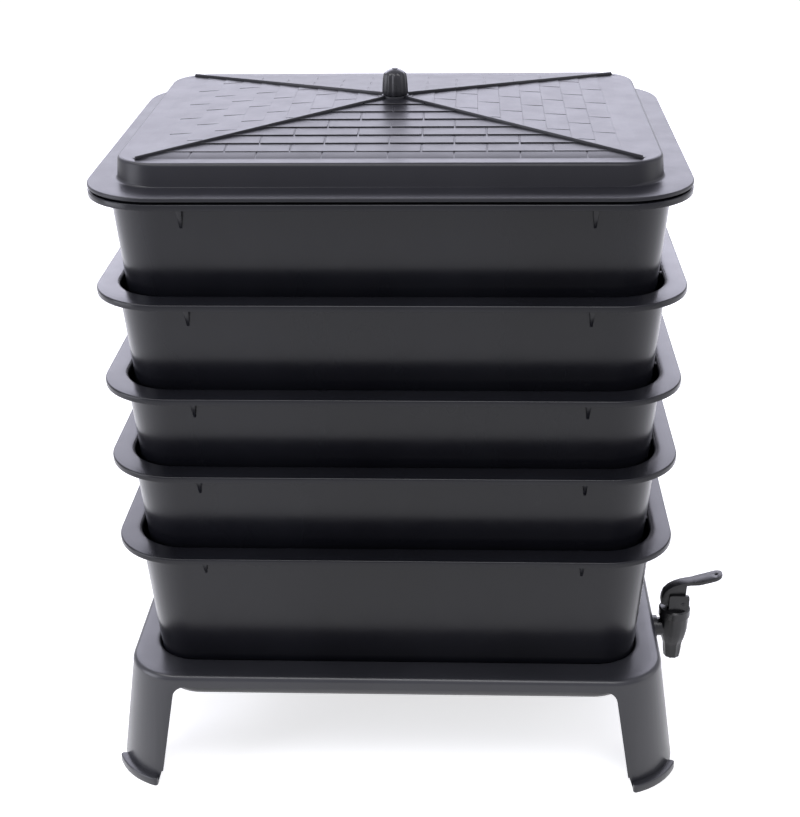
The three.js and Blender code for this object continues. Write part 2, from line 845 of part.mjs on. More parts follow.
// Bonnet: a collar that closes the body, with two lugs for the lever's pin
function bonnetSolid() {
  const top = bonnetFoot + bonnetCollarHeight;
  const socketTop = bonnetFoot + collarNeckHeight;
  const collar = solid(turned([
    [0, bonnetFoot],
    [bonnetCollarRadius, bonnetFoot],
    [bonnetCollarRadius, top - bonnetCollarRound],
    [bonnetCollarRadius - bonnetCollarRound, top],
    [0, top],
  ]));
  const lugFoot = top - bonnetCollarRound;
  const lugTop = top + lugHeight;
  const lugMiddle = leverRootWidth / 2 + lugGap + lugWall / 2;
  const lugs = [[-1, frontLugForward], [1, backLugForward]].map(([side, forward]) => {
    const shape = new THREE.Shape();
    shape.moveTo(-lugBack, lugFoot);
    shape.lineTo(forward - lugRound, lugFoot);
    shape.lineTo(forward, lugFoot + lugRound * 2);
    shape.lineTo(forward, lugTop - lugRound);
    shape.quadraticCurveTo(forward, lugTop, forward - lugRound, lugTop);
    shape.lineTo(-lugBack + lugRound, lugTop);
    shape.quadraticCurveTo(-lugBack, lugTop, -lugBack, lugTop - lugRound);
    return solid(plateXZ(shape, lugWall, side * lugMiddle));
  });
  const pinHole = disc(pinRadius + seatGap, -bonnetCollarRadius, bonnetCollarRadius, 0, ringSides / 2);
  pinHole.rotateX(Math.PI / 2);
  pinHole.translate(pivotForward, 0, pinHeight);
  return joined([collar, ...lugs])
    .subtract(solid(disc(collarNeckRadius + seatGap, bonnetFoot - overrun, socketTop)))
    .subtract(solid(disc(stemRadius + seatGap, bonnetFoot, top + overrun, 0, ringSides / 2)))
    .subtract(solid(pinHole));
}

// Valve stem, from its seat up to the flat head that the lever lifts
function stemSolid() {
  const foot = seatLift - valveSeatDrop + seatHeight - seatSocket + seatGap;
  const headFoot = pinHeight - stemHeadHeight / 2;
  const rod = turned([
    [0, foot],
    [stemRadius, foot],
    [stemRadius, stemCollarRise],
    [stemCollarRadius, stemCollarRise],
    [stemCollarRadius, stemCollarRise + stemCollarHeight],
    [stemRadius, stemCollarRise + stemCollarHeight],
    [stemRadius, headFoot + stemHeadHeight / 4],
    [0, headFoot + stemHeadHeight / 4],
  ], ringSides / 2);
  const head = new THREE.BoxGeometry(stemHeadWidth, stemHeadDepth, stemHeadHeight);
  head.translate(0, 0, pinHeight);
  const hole = disc(pinRadius + pinClearance, -stemHeadDepth, stemHeadDepth, 0, ringSides / 2);
  hole.rotateX(Math.PI / 2);
  hole.translate(0, 0, pinHeight);
  return solid(rod).add(solid(head)).subtract(solid(hole));
}

// Soft seat on the stem's foot, with the slope of the cone that it closes
function seatSolid() {
  const foot = seatLift - valveSeatDrop;
  const slope = (chamberRadius - spoutBore) / valveConeHeight;
  const top = foot + seatHeight;
  return solid(turned([
    [0, foot],
    [spoutBore, foot],
    [seatRadius, foot + (seatRadius - spoutBore) / slope],
    [seatRadius, top],
    [stemRadius + seatGap, top],
    [stemRadius + seatGap, top - seatSocket],
    [0, top - seatSocket],
  ], ringSides));
}

// Spring round the stem: one wire in a helix from the stem's collar to the bonnet
function springSolid() {
  const low = stemCollarRise + stemCollarHeight + springWire / 2 + seatGap;
  const high = bonnetFoot + collarNeckHeight - springWire / 2 - seatGap;
  const steps = springTurnCount * springTurnSteps;
  const loops = [];
  for (let step = 0; step <= steps; step += 1) {
    const share = step / steps;
    const turn = share * springTurnCount * Math.PI * 2;
    const ahead = new THREE.Vector3(-Math.sin(turn), Math.cos(turn), 0);
    const out = new THREE.Vector3(Math.cos(turn), Math.sin(turn), 0);
    const up = new THREE.Vector3().crossVectors(out, ahead);
    const loop = [];
    for (let side = 0; side < springSides; side += 1) {
      const angle = side / springSides * Math.PI * 2;
      const point = out.clone().multiplyScalar(springRadius + springWire / 2 * Math.cos(angle));
      point.addScaledVector(up, -springWire / 2 * Math.sin(angle));
      point.z += low + (high - low) * share;
      loop.push(point);
    }
    loops.push(loop);
  }
  return solid(loft(loops));
}

// Lever: a band that rises from the heel, bends over and ends in a paddle
function leverSolid() {
  const rise = leverTipHeight - leverHeelHeight;
  const path = new THREE.CatmullRomCurve3(leverPathShares.map(([reach, height]) => (
    new THREE.Vector3(reach * leverReach, leverHeelHeight + height * rise, 0)
  )));
  const upper = [];
  const lower = [];
  const middleLine = [];
  for (let step = 0; step <= leverSteps; step += 1) {
    const share = step / leverSteps;
    const point = path.getPointAt(share);
    const along = path.getTangentAt(share);
    const outX = along.y * leverThickness / 2;
    const outZ = along.x * leverThickness / 2;
    middleLine.push(new THREE.Vector2(point.x, point.y));
    upper.push(new THREE.Vector2(point.x - outX, point.y + outZ));
    lower.push(new THREE.Vector2(point.x + outX, point.y - outZ));
  }
  const bandShape = new THREE.Shape([...lower, ...upper.reverse()]);
  const band = solid(plateXZ(bandShape, leverPaddleWidth + overrun, 0));

  // Outline of the lever from above: narrow root, wide paddle, round end
  const outline = new THREE.Shape();
  const rootHalf = leverRootWidth / 2;
  const paddleHalf = leverPaddleWidth / 2;
  const back = -leverReach;
  const turnIn = (leverPaddleStart + leverPaddleFull) / 2;
  outline.moveTo(back, -rootHalf);
  outline.lineTo(leverPaddleStart, -rootHalf);
  outline.bezierCurveTo(turnIn, -rootHalf, turnIn, -paddleHalf, leverPaddleFull, -paddleHalf);
  outline.lineTo(leverReach - paddleHalf, -paddleHalf);
  outline.absarc(leverReach - paddleHalf, 0, paddleHalf, -Math.PI / 2, Math.PI / 2, false);
  outline.lineTo(leverPaddleFull, paddleHalf);
  outline.bezierCurveTo(turnIn, paddleHalf, turnIn, rootHalf, leverPaddleStart, rootHalf);
  outline.lineTo(back, rootHalf);
  const fence = new THREE.ExtrudeGeometry(outline, {
    depth: leverTipHeight + overrun,
    bevelEnabled: false,
    curveSegments: roundSteps * 3,
  });

  // Cheeks: they fill the bend down to the pins
  const bend = middleLine.filter((point) => point.x < cheekForward + cheekCorner * 2);
  const cheek = new THREE.Shape([
    new THREE.Vector2(-cheekBack, cheekFoot),
    new THREE.Vector2(cheekForward - cheekCorner, cheekFoot),
    new THREE.Vector2(cheekForward, cheekFoot + cheekCorner),
    new THREE.Vector2(cheekForward, pinHeight + cheekForward),
    ...bend.reverse(),
  ]);
  const cheekMiddle = leverRootWidth / 2 - cheekWall / 2;
  const cheeks = [-1, 1].map((side) => solid(plateXZ(cheek, cheekWall, side * cheekMiddle)));

  const pinHole = (x) => {
    const hole = disc(pinRadius + seatGap, -leverRootWidth, leverRootWidth, 0, ringSides / 2);
    hole.rotateX(Math.PI / 2);
    hole.translate(x, 0, pinHeight);
    return solid(hole);
  };
  const eye = disc(leverEyeRadius, 0, leverTipHeight + overrun, 0, ringSides / 2);
  eye.translate(leverReach - leverEyeSetback, 0, 0);
  return joined([band.intersect(solid(fence)), ...cheeks])
    .subtract(pinHole(0))
    .subtract(pinHole(pivotForward))
    .subtract(solid(eye));
}

// A plain round pin across the tap
function pinSolid(length) {
  const pin = disc(pinRadius, -length / 2, length / 2, 0, ringSides / 2);
  pin.rotateX(Math.PI / 2);
  return solid(pin);
}

// Hexagonal nut on the shank, with flats above and below
function nutSolid(from) {
  const corner = nutAcrossFlats / 2 / Math.cos(Math.PI / nutSides);
  const nut = solid(discAlongX(corner, from - nutThickness, from, 0, nutSides));
  const bore = discAlongX(shankRadius + seatGap, from - nutThickness - overrun, from + overrun);
  return nut.subtract(solid(bore));
}

const whole = new THREE.Group();
group.add(whole);

const stand = standSolid();
place('stand', geometryOf(stand.body), moulded, whole);

// Trays, from the lowest up: each stands on the stops of the one below
let trayLevel = lowestTrayFloor;
trayNames.forEach((name, level) => {
  const tray = place(name, geometryOf(traySolid(stopHeights[level])), moulded, whole);
  tray.position.z = trayLevel;
  if (level < trayNames.length - 1) {
    trayLevel += stopHeights[level];
  }
});
const topRim = trayLevel + trayHeight;

// Lid, its knob and the fixing under it
const lidGroup = new THREE.Group();
lidGroup.position.z = topRim;
whole.add(lidGroup);
const lid = lidSolid();
place('lid', geometryOf(lid.body), moulded, lidGroup);
place('lid_knob', geometryOf(knobSolid()), moulded, lidGroup).position.z = lid.padTop;
const washer = disc(washerRadius, -washerThickness, 0, knobScrewRadius + seatGap);
place('lid_knob_washer', geometryOf(solid(washer)), steel, lidGroup).position.z = lid.padUnder;
const screw = place('lid_knob_screw', geometryOf(screwSolid()), steel, lidGroup);
screw.position.z = lid.padUnder - washerThickness;

// Tap: zero is where the shank's axis meets the stem's
const tapGroup = new THREE.Group();
tapGroup.position.set(stand.bossOuter + tapStandOff, -tapForward, tapInletHeight);
whole.add(tapGroup);
const bossFace = -tapStandOff;
const bossBack = bossFace - (stand.bossOuter - stand.padInner);
const flangeSeat = bossFace + gasketThickness;
const nutFace = bossBack - gasketThickness;
const shankEnd = nutFace - nutThickness - shankTail;
const outerGasket = discAlongX(outerGasketRadius, bossFace, flangeSeat, shankRadius + seatGap);
const innerGasket = discAlongX(innerGasketRadius, nutFace, bossBack, shankRadius + seatGap);
place('tap_body', geometryOf(tapBodySolid(flangeSeat, shankEnd)), tapFinish, tapGroup);
place('tap_gasket_outer', outerGasket, rubber, tapGroup);
place('tap_gasket_inner', innerGasket, rubber, tapGroup);
place('tap_back_nut', geometryOf(nutSolid(nutFace)), tapFinish, tapGroup);
place('tap_bonnet', geometryOf(bonnetSolid()), tapFinish, tapGroup);
place('tap_stem', geometryOf(stemSolid()), tapFinish, tapGroup);
place('tap_seat', geometryOf(seatSolid()), rubber, tapGroup);
place('tap_spring', geometryOf(springSolid()), steel, tapGroup);
place('tap_lever', geometryOf(leverSolid()), tapFinish, tapGroup);
const stemPin = place('tap_stem_pin', geometryOf(pinSolid(leverRootWidth)), steel, tapGroup);
stemPin.position.z = pinHeight;
const leverPinLength = leverRootWidth + (lugGap + lugWall) * 2;
const leverPin = place('tap_lever_pin', geometryOf(pinSolid(leverPinLength)), steel, tapGroup);
leverPin.position.set(pivotForward, 0, pinHeight);

// The middle of the whole width, tap included, is the origin
const reach = new THREE.Box3().setFromObject(whole);
whole.position.x = -(reach.min.x + reach.max.x) / 2;

export default group;
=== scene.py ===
import math

import bmesh
import bpy
from mathutils import Matrix, Vector


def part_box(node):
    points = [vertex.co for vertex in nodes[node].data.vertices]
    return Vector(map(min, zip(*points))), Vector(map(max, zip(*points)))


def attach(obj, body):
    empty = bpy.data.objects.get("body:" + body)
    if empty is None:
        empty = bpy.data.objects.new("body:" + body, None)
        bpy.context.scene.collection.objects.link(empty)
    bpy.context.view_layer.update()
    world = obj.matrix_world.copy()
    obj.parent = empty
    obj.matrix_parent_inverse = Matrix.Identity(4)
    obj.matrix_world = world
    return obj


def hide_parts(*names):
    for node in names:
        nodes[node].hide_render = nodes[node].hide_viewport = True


# Looks of the stacking wormery. Everything is in metres, in the row frame.
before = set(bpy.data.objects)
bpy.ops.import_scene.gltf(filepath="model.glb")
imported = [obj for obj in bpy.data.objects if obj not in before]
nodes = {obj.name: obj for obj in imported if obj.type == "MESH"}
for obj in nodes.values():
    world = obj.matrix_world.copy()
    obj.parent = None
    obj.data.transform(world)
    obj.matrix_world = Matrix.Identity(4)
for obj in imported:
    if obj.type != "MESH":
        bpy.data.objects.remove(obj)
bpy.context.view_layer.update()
MM = 0.001

# The stack's axis lies left of the origin, because the tap widens the object on the right
tray_low, tray_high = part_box("tray_1")
STACK_X = (tray_low.x + tray_high.x) / 2

CORNER_STEPS = 14
SHARP = math.radians(35)
STEEP = math.radians(50)
TINY = 0.02 * MM
LIFT = 0.05


# Selecting and finishing by hand-like steps
def deselect_all():
    if bpy.context.mode != "OBJECT":
        bpy.ops.object.mode_set(mode="OBJECT")
    bpy.ops.object.select_all(action="DESELECT")


def work_on(obj):
    deselect_all()
    obj.select_set(True)
    bpy.context.view_layer.objects.active = obj


def edit(obj):
    work_on(obj)
    bpy.ops.object.mode_set(mode="EDIT")


def done():
    bpy.ops.object.mode_set(mode="OBJECT")


def pick(obj, kind, test):
    """In edit mode, selects the vertices, edges or faces that pass a test, and nothing else."""
    bpy.ops.mesh.select_mode(type=kind)
    bpy.ops.mesh.select_all(action="DESELECT")
    mesh = bmesh.from_edit_mesh(obj.data)
    rows = {"VERT": mesh.verts, "EDGE": mesh.edges, "FACE": mesh.faces}[kind]
    for row in rows:
        if test(row):
            row.select_set(True)
    mesh.select_flush_mode()
    bmesh.update_edit_mesh(obj.data)


def join(parts):
    deselect_all()
    for part in parts:
        part.select_set(True)
    bpy.context.view_layer.objects.active = parts[0]
    bpy.ops.object.join()
    return parts[0]


def settle(obj):
    """Puts the object's place into its mesh."""
    work_on(obj)
    bpy.ops.object.transform_apply(location=True, rotation=True, scale=True)
    return obj


def apply_all(obj):
    work_on(obj)
    for modifier in list(obj.modifiers):
        bpy.ops.object.modifier_apply(modifier=modifier.name)


def round_edges(obj, width, segments=2, angle=SHARP):
    bevel = obj.modifiers.new("soft_edges", "BEVEL")
    bevel.width = width
    bevel.segments = segments
    bevel.limit_method = "ANGLE"
    bevel.angle_limit = angle
    bevel.use_clamp_overlap = True
    apply_all(obj)


def cut(obj, cutter):
    """Takes the cutter's shape out of the object."""
    boolean = obj.modifiers.new("cut", "BOOLEAN")
    boolean.operation = "DIFFERENCE"
    boolean.solver = "EXACT"
    boolean.object = cutter
    apply_all(obj)
    bpy.data.objects.remove(cutter)


def smooth(obj):
    work_on(obj)
    bpy.ops.object.shade_smooth_by_angle(angle=SHARP)


def copy_of(obj, name):
    twin = obj.copy()
    twin.data = obj.data.copy()
    twin.name = name
    twin.data.name = name
    bpy.context.scene.collection.objects.link(twin)
    return twin


def move(obj, x=0.0, y=0.0, z=0.0):
    obj.data.transform(Matrix.Translation((x, y, z)))
    return obj


# Wires and sweeps: a profile of inset and height, carried round a rounded rectangle
def wire(name, points):
    deselect_all()
    bpy.ops.mesh.primitive_plane_add(size=MM, location=(0, 0, 0))
    obj = bpy.context.object
    obj.name = name
    bpy.ops.object.mode_set(mode="EDIT")
    bpy.ops.mesh.select_mode(type="VERT")
    bpy.ops.mesh.select_all(action="SELECT")
    bpy.ops.mesh.merge(type="CENTER")
    bpy.ops.transform.translate(value=points[0])
    for near, far in zip(points, points[1:]):
        step = [b - a for a, b in zip(near, far)]
        bpy.ops.mesh.extrude_vertices_move(TRANSFORM_OT_translate={"value": step})
    return obj


def swept(name, plan, profile):
    """The profile is a list of (inset, height, round) in millimetres, from a plan of
    (width, depth, corner). It stays a ribbon, open at its two ends."""
    width, depth, corner = (size * MM for size in plan)
    straight_x = width / 2 - corner
    straight_y = depth / 2 - corner
    points = [(width / 2 - inset * MM, -straight_y, z * MM) for inset, z, _ in profile]
    obj = wire(name, points)
    for (x, y, z), (_, _, soft) in zip(points, profile):
        if soft:
            place = Vector((x, y, z))
            pick(obj, "VERT", lambda v, place=place: (v.co - place).length < TINY)
            bpy.ops.mesh.bevel(offset=soft * MM, segments=4, affect="VERTICES")
    bpy.ops.mesh.select_all(action="SELECT")
    runs = [(0, 2 * straight_y), (-2 * straight_x, 0), (0, -2 * straight_y), (2 * straight_x, 0)]
    centres = [(1, 1), (-1, 1), (-1, -1), (1, -1)]
    for (run_x, run_y), (side_x, side_y) in zip(runs, centres):
        bpy.ops.mesh.extrude_region_move(TRANSFORM_OT_translate={"value": (run_x, run_y, 0)})
        bpy.ops.mesh.spin(
            steps=CORNER_STEPS,
            angle=-math.pi / 2,
            center=(side_x * straight_x, side_y * straight_y, 0),
            axis=(0, 0, 1),
        )
    bpy.ops.mesh.select_all(action="SELECT")
    bpy.ops.mesh.remove_doubles(threshold=TINY / 4)
    done()
    return obj


def open_loops(obj):
    """The open edge loops of a mesh in edit mode, each as a list of edge numbers."""
    mesh = bmesh.from_edit_mesh(obj.data)
    loose = {e.index: e for e in mesh.edges if e.is_boundary}
    loops = []
    while loose:
        start = loose.pop(next(iter(loose)))
        loop, queue = [start.index], [start]
        while queue:
            for vert in queue.pop().verts:
                for near in vert.link_edges:
                    if near.index in loose:
                        queue.append(loose.pop(near.index))
                        loop.append(near.index)
        loops.append(loop)
    return loops


def loop_size(mesh, loop):
    """How far a loop reaches along X, and its mean height."""
    points = [v.co for i in loop for v in mesh.edges[i].verts]
    return max(p.x for p in points), sum(p.z for p in points) / len(points)


def bridge(obj, first, second):
    """Joins two open loops, each named by its reach along X and its height in millimetres.
    The operator pairs level loops wrongly, so one is lifted first and put back afterwards."""
    edit(obj)
    bpy.ops.mesh.select_mode(type="EDGE")
    mesh = bmesh.from_edit_mesh(obj.data)
    mesh.edges.ensure_lookup_table()
    loops = open_loops(obj)
    ends = []
    for reach, z in (first, second):
        def miss(loop, reach=reach, z=z):
            far, height = loop_size(mesh, loop)
            return math.hypot(far - reach * MM, height - z * MM)
        ends.append(min(loops, key=miss))
    for loop in ends:
        bpy.ops.mesh.select_all(action="DESELECT")
        for i in loop:
            mesh.edges[i].select_set(True)
    bmesh.update_edit_mesh(obj.data)
    lifted = {v.index for i in ends[1] for v in mesh.edges[i].verts}
    bpy.ops.transform.translate(value=(0, 0, LIFT))
    mesh = bmesh.from_edit_mesh(obj.data)
    mesh.edges.ensure_lookup_table()
    for i in ends[0]:
        mesh.edges[i].select_set(True)
    bmesh.update_edit_mesh(obj.data)
    bpy.ops.mesh.bridge_edge_loops()
    pick(obj, "VERT", lambda v: v.index in lifted)
    bpy.ops.transform.translate(value=(0, 0, -LIFT))
    done()


def close_loop(obj, reach, z, peak=None):
    """Fills an open loop flat, or draws it to a point at a height."""
    edit(obj)
    bpy.ops.mesh.select_mode(type="EDGE")
    bpy.ops.mesh.select_all(action="DESELECT")
    mesh = bmesh.from_edit_mesh(obj.data)
    mesh.edges.ensure_lookup_table()

    def miss(loop):
        far, height = loop_size(mesh, loop)
        return math.hypot(far - reach * MM, height - z * MM)
    for i in min(open_loops(obj), key=miss):
        mesh.edges[i].select_set(True)
    bmesh.update_edit_mesh(obj.data)
    if peak is None:
        bpy.ops.mesh.edge_face_add()
    else:
        bpy.ops.mesh.extrude_region_move(TRANSFORM_OT_translate={"value": (0, 0, (peak - z) * MM)})
        bpy.ops.mesh.merge(type="CENTER")
    done()


def face_outwards(obj):
    edit(obj)
    bpy.ops.mesh.select_all(action="SELECT")
    bpy.ops.mesh.remove_doubles(threshold=TINY / 4)
    bpy.ops.mesh.normals_make_consistent(inside=False)
    done()


# Materials
def material(name):
    made = bpy.data.materials.new(name)
    made.use_nodes = True
    return made, made.node_tree, made.node_tree.nodes["Principled BSDF"]


def link(tree, source, output, target, socket):
    tree.links.new(source.outputs[output], target.inputs[socket])


def noise(tree, scale, detail, roughness=0.5, stretch=None):
    place = tree.nodes.new("ShaderNodeTexCoord")
    texture = tree.nodes.new("ShaderNodeTexNoise")
    texture.inputs["Scale"].default_value = scale
    texture.inputs["Detail"].default_value = detail
    texture.inputs["Roughness"].default_value = roughness
    if stretch:
        mapping = tree.nodes.new("ShaderNodeMapping")
        mapping.inputs["Scale"].default_value = stretch
        link(tree, place, "Object", mapping, "Vector")
        link(tree, mapping, "Vector", texture, "Vector")
    else:
        link(tree, place, "Object", texture, "Vector")
    return texture


def ramp(tree, source, output, low, high, from_low, from_high):
    """A value spread between two places and mapped on to a range."""
    spread = tree.nodes.new("ShaderNodeMapRange")
    spread.inputs["From Min"].default_value = from_low
    spread.inputs["From Max"].default_value = from_high
    spread.inputs["To Min"].default_value = low
    spread.inputs["To Max"].default_value = high
    link(tree, source, output, spread, "Value")
    return spread


def colours(tree, source, output, first, second, from_low, from_high):
    band = tree.nodes.new("ShaderNodeValToRGB")
    band.color_ramp.elements[0].position = from_low
    band.color_ramp.elements[0].color = (*first, 1)
    band.color_ramp.elements[1].position = from_high
    band.color_ramp.elements[1].color = (*second, 1)
    link(tree, source, output, band, "Fac")
    return band


def bump(tree, source, output, shader, distance, strength, under=None):
    node = tree.nodes.new("ShaderNodeBump")
    node.inputs["Distance"].default_value = distance
    node.inputs["Strength"].default_value = strength
    link(tree, source, output, node, "Height")
    if under:
        link(tree, under, "Normal", node, "Normal")
    link(tree, node, "Normal", shader, "Normal")
    return node


def moulded_plastic(name, dark, pale, gloss_low, gloss_high, grain, flow, level):
    """Black polypropylene: soft flow marks, fine grain, and scuffs that dull the sheen."""
    made, tree, shader = material(name)
    shader.inputs["Specular IOR Level"].default_value = level
    shader.inputs["IOR"].default_value = 1.5
    tone = noise(tree, scale=9.0, detail=4.0, roughness=0.6, stretch=(1, 1, 0.35))
    mix = colours(tree, tone, "Fac", dark, pale, 0.35, 0.7)
    link(tree, mix, "Color", shader, "Base Color")
    scuff = noise(tree, scale=38.0, detail=6.0, roughness=0.65)
    gloss = ramp(tree, scuff, "Fac", gloss_low, gloss_high, 0.35, 0.7)
    link(tree, gloss, "Result", shader, "Roughness")
    slow = noise(tree, scale=7.0, detail=2.0, stretch=(1, 1, 0.3))
    wavy = bump(tree, slow, "Fac", shader, distance=flow, strength=0.5)
    fine = noise(tree, scale=1100.0, detail=2.0, roughness=0.6)
    bump(tree, fine, "Fac", shader, distance=grain, strength=0.35, under=wavy)
    return made


body_plastic = moulded_plastic(
    "moulded_plastic",
    dark=(0.0055, 0.0057, 0.0078),
    pale=(0.0085, 0.0088, 0.0118),
    gloss_low=0.21,
    gloss_high=0.26,
    grain=0.00003,
    flow=0.0002,
    level=0.27,
)
lid_plastic = moulded_plastic(
    "lid_plastic",
    dark=(0.008, 0.008, 0.0108),
    pale=(0.012, 0.012, 0.0156),
    gloss_low=0.35,
    gloss_high=0.4,
    grain=0.00008,
    flow=0.0002,
    level=0.27,
)
# Painted light: this copy of the moulded plastic has a paler base colour than the trays' copy, standing in
# for the brighter light that the legs, apron and toes catch.
stand_plastic_painted_light = moulded_plastic(
    "stand_plastic_painted_light",
    dark=(0.016, 0.0163, 0.02),
    pale=(0.022, 0.0223, 0.027),
    gloss_low=0.28,
    gloss_high=0.34,
    grain=0.00005,
    flow=0.0003,
    level=0.5,
)
knob_plastic = moulded_plastic(
    "knob_plastic",
    dark=(0.009, 0.009, 0.011),
    pale=(0.013, 0.013, 0.016),
    gloss_low=0.22,
    gloss_high=0.32,
    grain=0.00004,
    flow=0.0003,
    level=0.38,
)
tap_plastic = moulded_plastic(
    "tap_plastic",
    dark=(0.006, 0.006, 0.0068),
    pale=(0.0105, 0.0105, 0.0115),
    gloss_low=0.24,
    gloss_high=0.38,
    grain=0.00003,
    flow=0.0003,
    level=0.4,
)


def rubber_finish():
    made, tree, shader = material("seal_rubber")
    tone = noise(tree, scale=60.0, detail=4.0)
    mix = colours(tree, tone, "Fac", (0.018, 0.018, 0.018), (0.034, 0.034, 0.034), 0.3, 0.7)
    link(tree, mix, "Color", shader, "Base Color")
    dull = ramp(tree, tone, "Fac", 0.7, 0.92, 0.3, 0.7)
    link(tree, dull, "Result", shader, "Roughness")
    fine = noise(tree, scale=1800.0, detail=2.0)
    bump(tree, fine, "Fac", shader, distance=0.00005, strength=0.5)
    return made


def steel_finish(name, dark, pale):
    made, tree, shader = material(name)
    shader.inputs["Metallic"].default_value = 1.0
    drawn = noise(tree, scale=500.0, detail=3.0, stretch=(1, 0.08, 1))
    mix = colours(tree, drawn, "Fac", dark, pale, 0.3, 0.7)
    link(tree, mix, "Color", shader, "Base Color")
    rough = ramp(tree, drawn, "Fac", 0.24, 0.4, 0.3, 0.7)
    link(tree, rough, "Result", shader, "Roughness")
    bump(tree, drawn, "Fac", shader, distance=0.00003, strength=0.3)
    return made


rubber = rubber_finish()
steel = steel_finish("plain_steel", (0.42, 0.42, 0.43), (0.6, 0.6, 0.61))
dark_steel = steel_finish("dark_steel", (0.02, 0.02, 0.022), (0.04, 0.04, 0.044))


def dress(obj, finish):
    obj.data.materials.clear()
    obj.data.materials.append(finish)
    for face in obj.data.polygons:
        face.material_index = 0


def put_on(obj, body, slot, finish, *stood_for):
    """Seats a finished piece: its finish, the body it rides on, and the nodes it stands for."""
    dress(obj, finish)
    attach(obj, body)
    if stood_for:
        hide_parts(*stood_for)


# Tray: one moulding, copied four times
RIM_PLAN = (500, 404, 63)
TRAY_PLAN = (467, 361, 47)
TRAY_HEIGHT = 135
WALL = 2.5
DRAFT_SHARE = 0.09
FIN_X = 168
SIDE_GUSSET_Y = 114
GUSSET_TALL = 26
GUSSET_OUT = 9
GUSSET_HALF = 3
GUSSET_FOOT_SHARE = 0.42
FIN_HALF = 1.5
HOLE_COLUMNS = 6
HOLE_ROWS = 4
HOLE_PITCH = (60, 64)
HOLE_RADIUS = 4
tray_floors = {}
for tray_name in ("tray_1", "tray_2", "tray_3", "tray_4", "tray_5"):
    tray_floors[tray_name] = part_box(tray_name)[0].z


def draft(z):
    return DRAFT_SHARE * (TRAY_HEIGHT - z)


def tray_shell():
    top = TRAY_HEIGHT
    # How far each ribbon runs before it is joined
    rim_run, lap, inner_run, outer_run = 12, 4, 9, 12
    rim = swept("rim", RIM_PLAN, [
        (rim_run, top, 0),
        (0, top, 1.5),
        (0, top - 5.4, 0.5),
        (2.6, top - 5.4, 0.5),
        (2.6, top - WALL, 0.9),
        (rim_run, top - WALL, 0),
    ])
    inner = swept("inner", TRAY_PLAN, [
        (-lap, top, 0),
        (WALL, top, 3),
        (WALL + draft(WALL), WALL, 5),
        (WALL + draft(WALL) + inner_run, WALL, 0),
    ])
    outer = swept("outer", TRAY_PLAN, [
        (-lap, top - WALL, 0),
        (0, top - WALL, 2),
        (draft(0), 0, 7),
        (draft(0) + outer_run, 0, 0),
    ])
    shell = join([rim, inner, outer])
    rim_half, wall_half = RIM_PLAN[0] / 2, TRAY_PLAN[0] / 2
    bridge(shell, (rim_half - rim_run, top), (wall_half + lap, top))
    bridge(shell, (rim_half - rim_run, top - WALL), (wall_half + lap, top - WALL))
    close_loop(shell, wall_half - WALL - draft(WALL) - inner_run, WALL)
    close_loop(shell, wall_half - draft(0) - outer_run, 0)
    face_outwards(shell)
    return shell


def block(name, low, high):
    """A block between two corners, in millimetres, left in object mode with its place applied."""
    deselect_all()
    centre = [(a + b) / 2 * MM for a, b in zip(low, high)]
    bpy.ops.mesh.primitive_cube_add(size=1, location=centre)
    obj = bpy.context.object
    obj.name = name
    obj.scale = [abs(b - a) * MM for a, b in zip(low, high)]
    return settle(obj)


def narrow_foot(obj, share):
    """Draws a block's foot in along X."""
    edit(obj)
    places = [v.co for v in bmesh.from_edit_mesh(obj.data).verts]
    low = min(p.z for p in places)
    middle = (min(p.x for p in places) + max(p.x for p in places)) / 2
    pick(obj, "VERT", lambda v: v.co.z < low + TINY)
    bpy.ops.transform.resize(value=(share, 1, 1), center_override=(middle, 0, low))
    done()


def gusset(axis, side, place):
    """A wedge under the rim, deep at the top, on a wall that faces along axis 0 or 1.
    Those on the front and back walls are narrow at the foot."""
    top = TRAY_HEIGHT - WALL / 2
    foot = top - GUSSET_TALL
    wall = TRAY_PLAN[axis] / 2
    far = side * (wall + GUSSET_OUT)
    low = [place - GUSSET_HALF, place - GUSSET_HALF, foot]
    high = [place + GUSSET_HALF, place + GUSSET_HALF, top]
    low[axis] = side * (wall - WALL / 2 - draft(foot))
    high[axis] = far
    wedge = block("gusset", low, high)
    edit(wedge)
    half_up = (top - GUSSET_TALL / 2) * MM
    pick(wedge, "VERT", lambda v: v.co.z < half_up and abs(v.co[axis] - far * MM) < TINY)
    step = [0, 0, 0]
    step[axis] = -side * (GUSSET_OUT + draft(foot) - 0.2) * MM
    bpy.ops.transform.translate(value=step)
    done()
    if axis == 1:
        narrow_foot(wedge, GUSSET_FOOT_SHARE)
    round_edges(wedge, 0.6 * MM)
    return wedge


def gussets():
    """Two gussets on each wall, the front and back ones first."""
    parts = []
    for axis, reach in ((1, FIN_X), (0, SIDE_GUSSET_Y)):
        for side in (-1, 1):
            for place in (-reach, reach):
                parts.append(gusset(axis, side, place))
    return parts


def stops(height):
    """Upright fins inside the front and back walls, which carry the tray above."""
    parts = []
    for side in (-1, 1):
        for across in (-FIN_X, FIN_X):
            near = side * (TRAY_PLAN[1] / 2 - draft(0) - 20)
            far = side * (TRAY_PLAN[1] / 2 - WALL / 2 - draft(height))
            fin = block("stop", (across - FIN_HALF, near, WALL / 2), (across + FIN_HALF, far, height))
            edit(fin)
            pick(fin, "VERT", lambda v, far=far: v.co.z < 3 * MM and abs(v.co.y - far * MM) < TINY)
            shift = side * (draft(height) - draft(WALL)) * MM
            bpy.ops.transform.translate(value=(0, shift, 0))
            done()
            round_edges(fin, 0.5 * MM)
            parts.append(fin)
    return parts


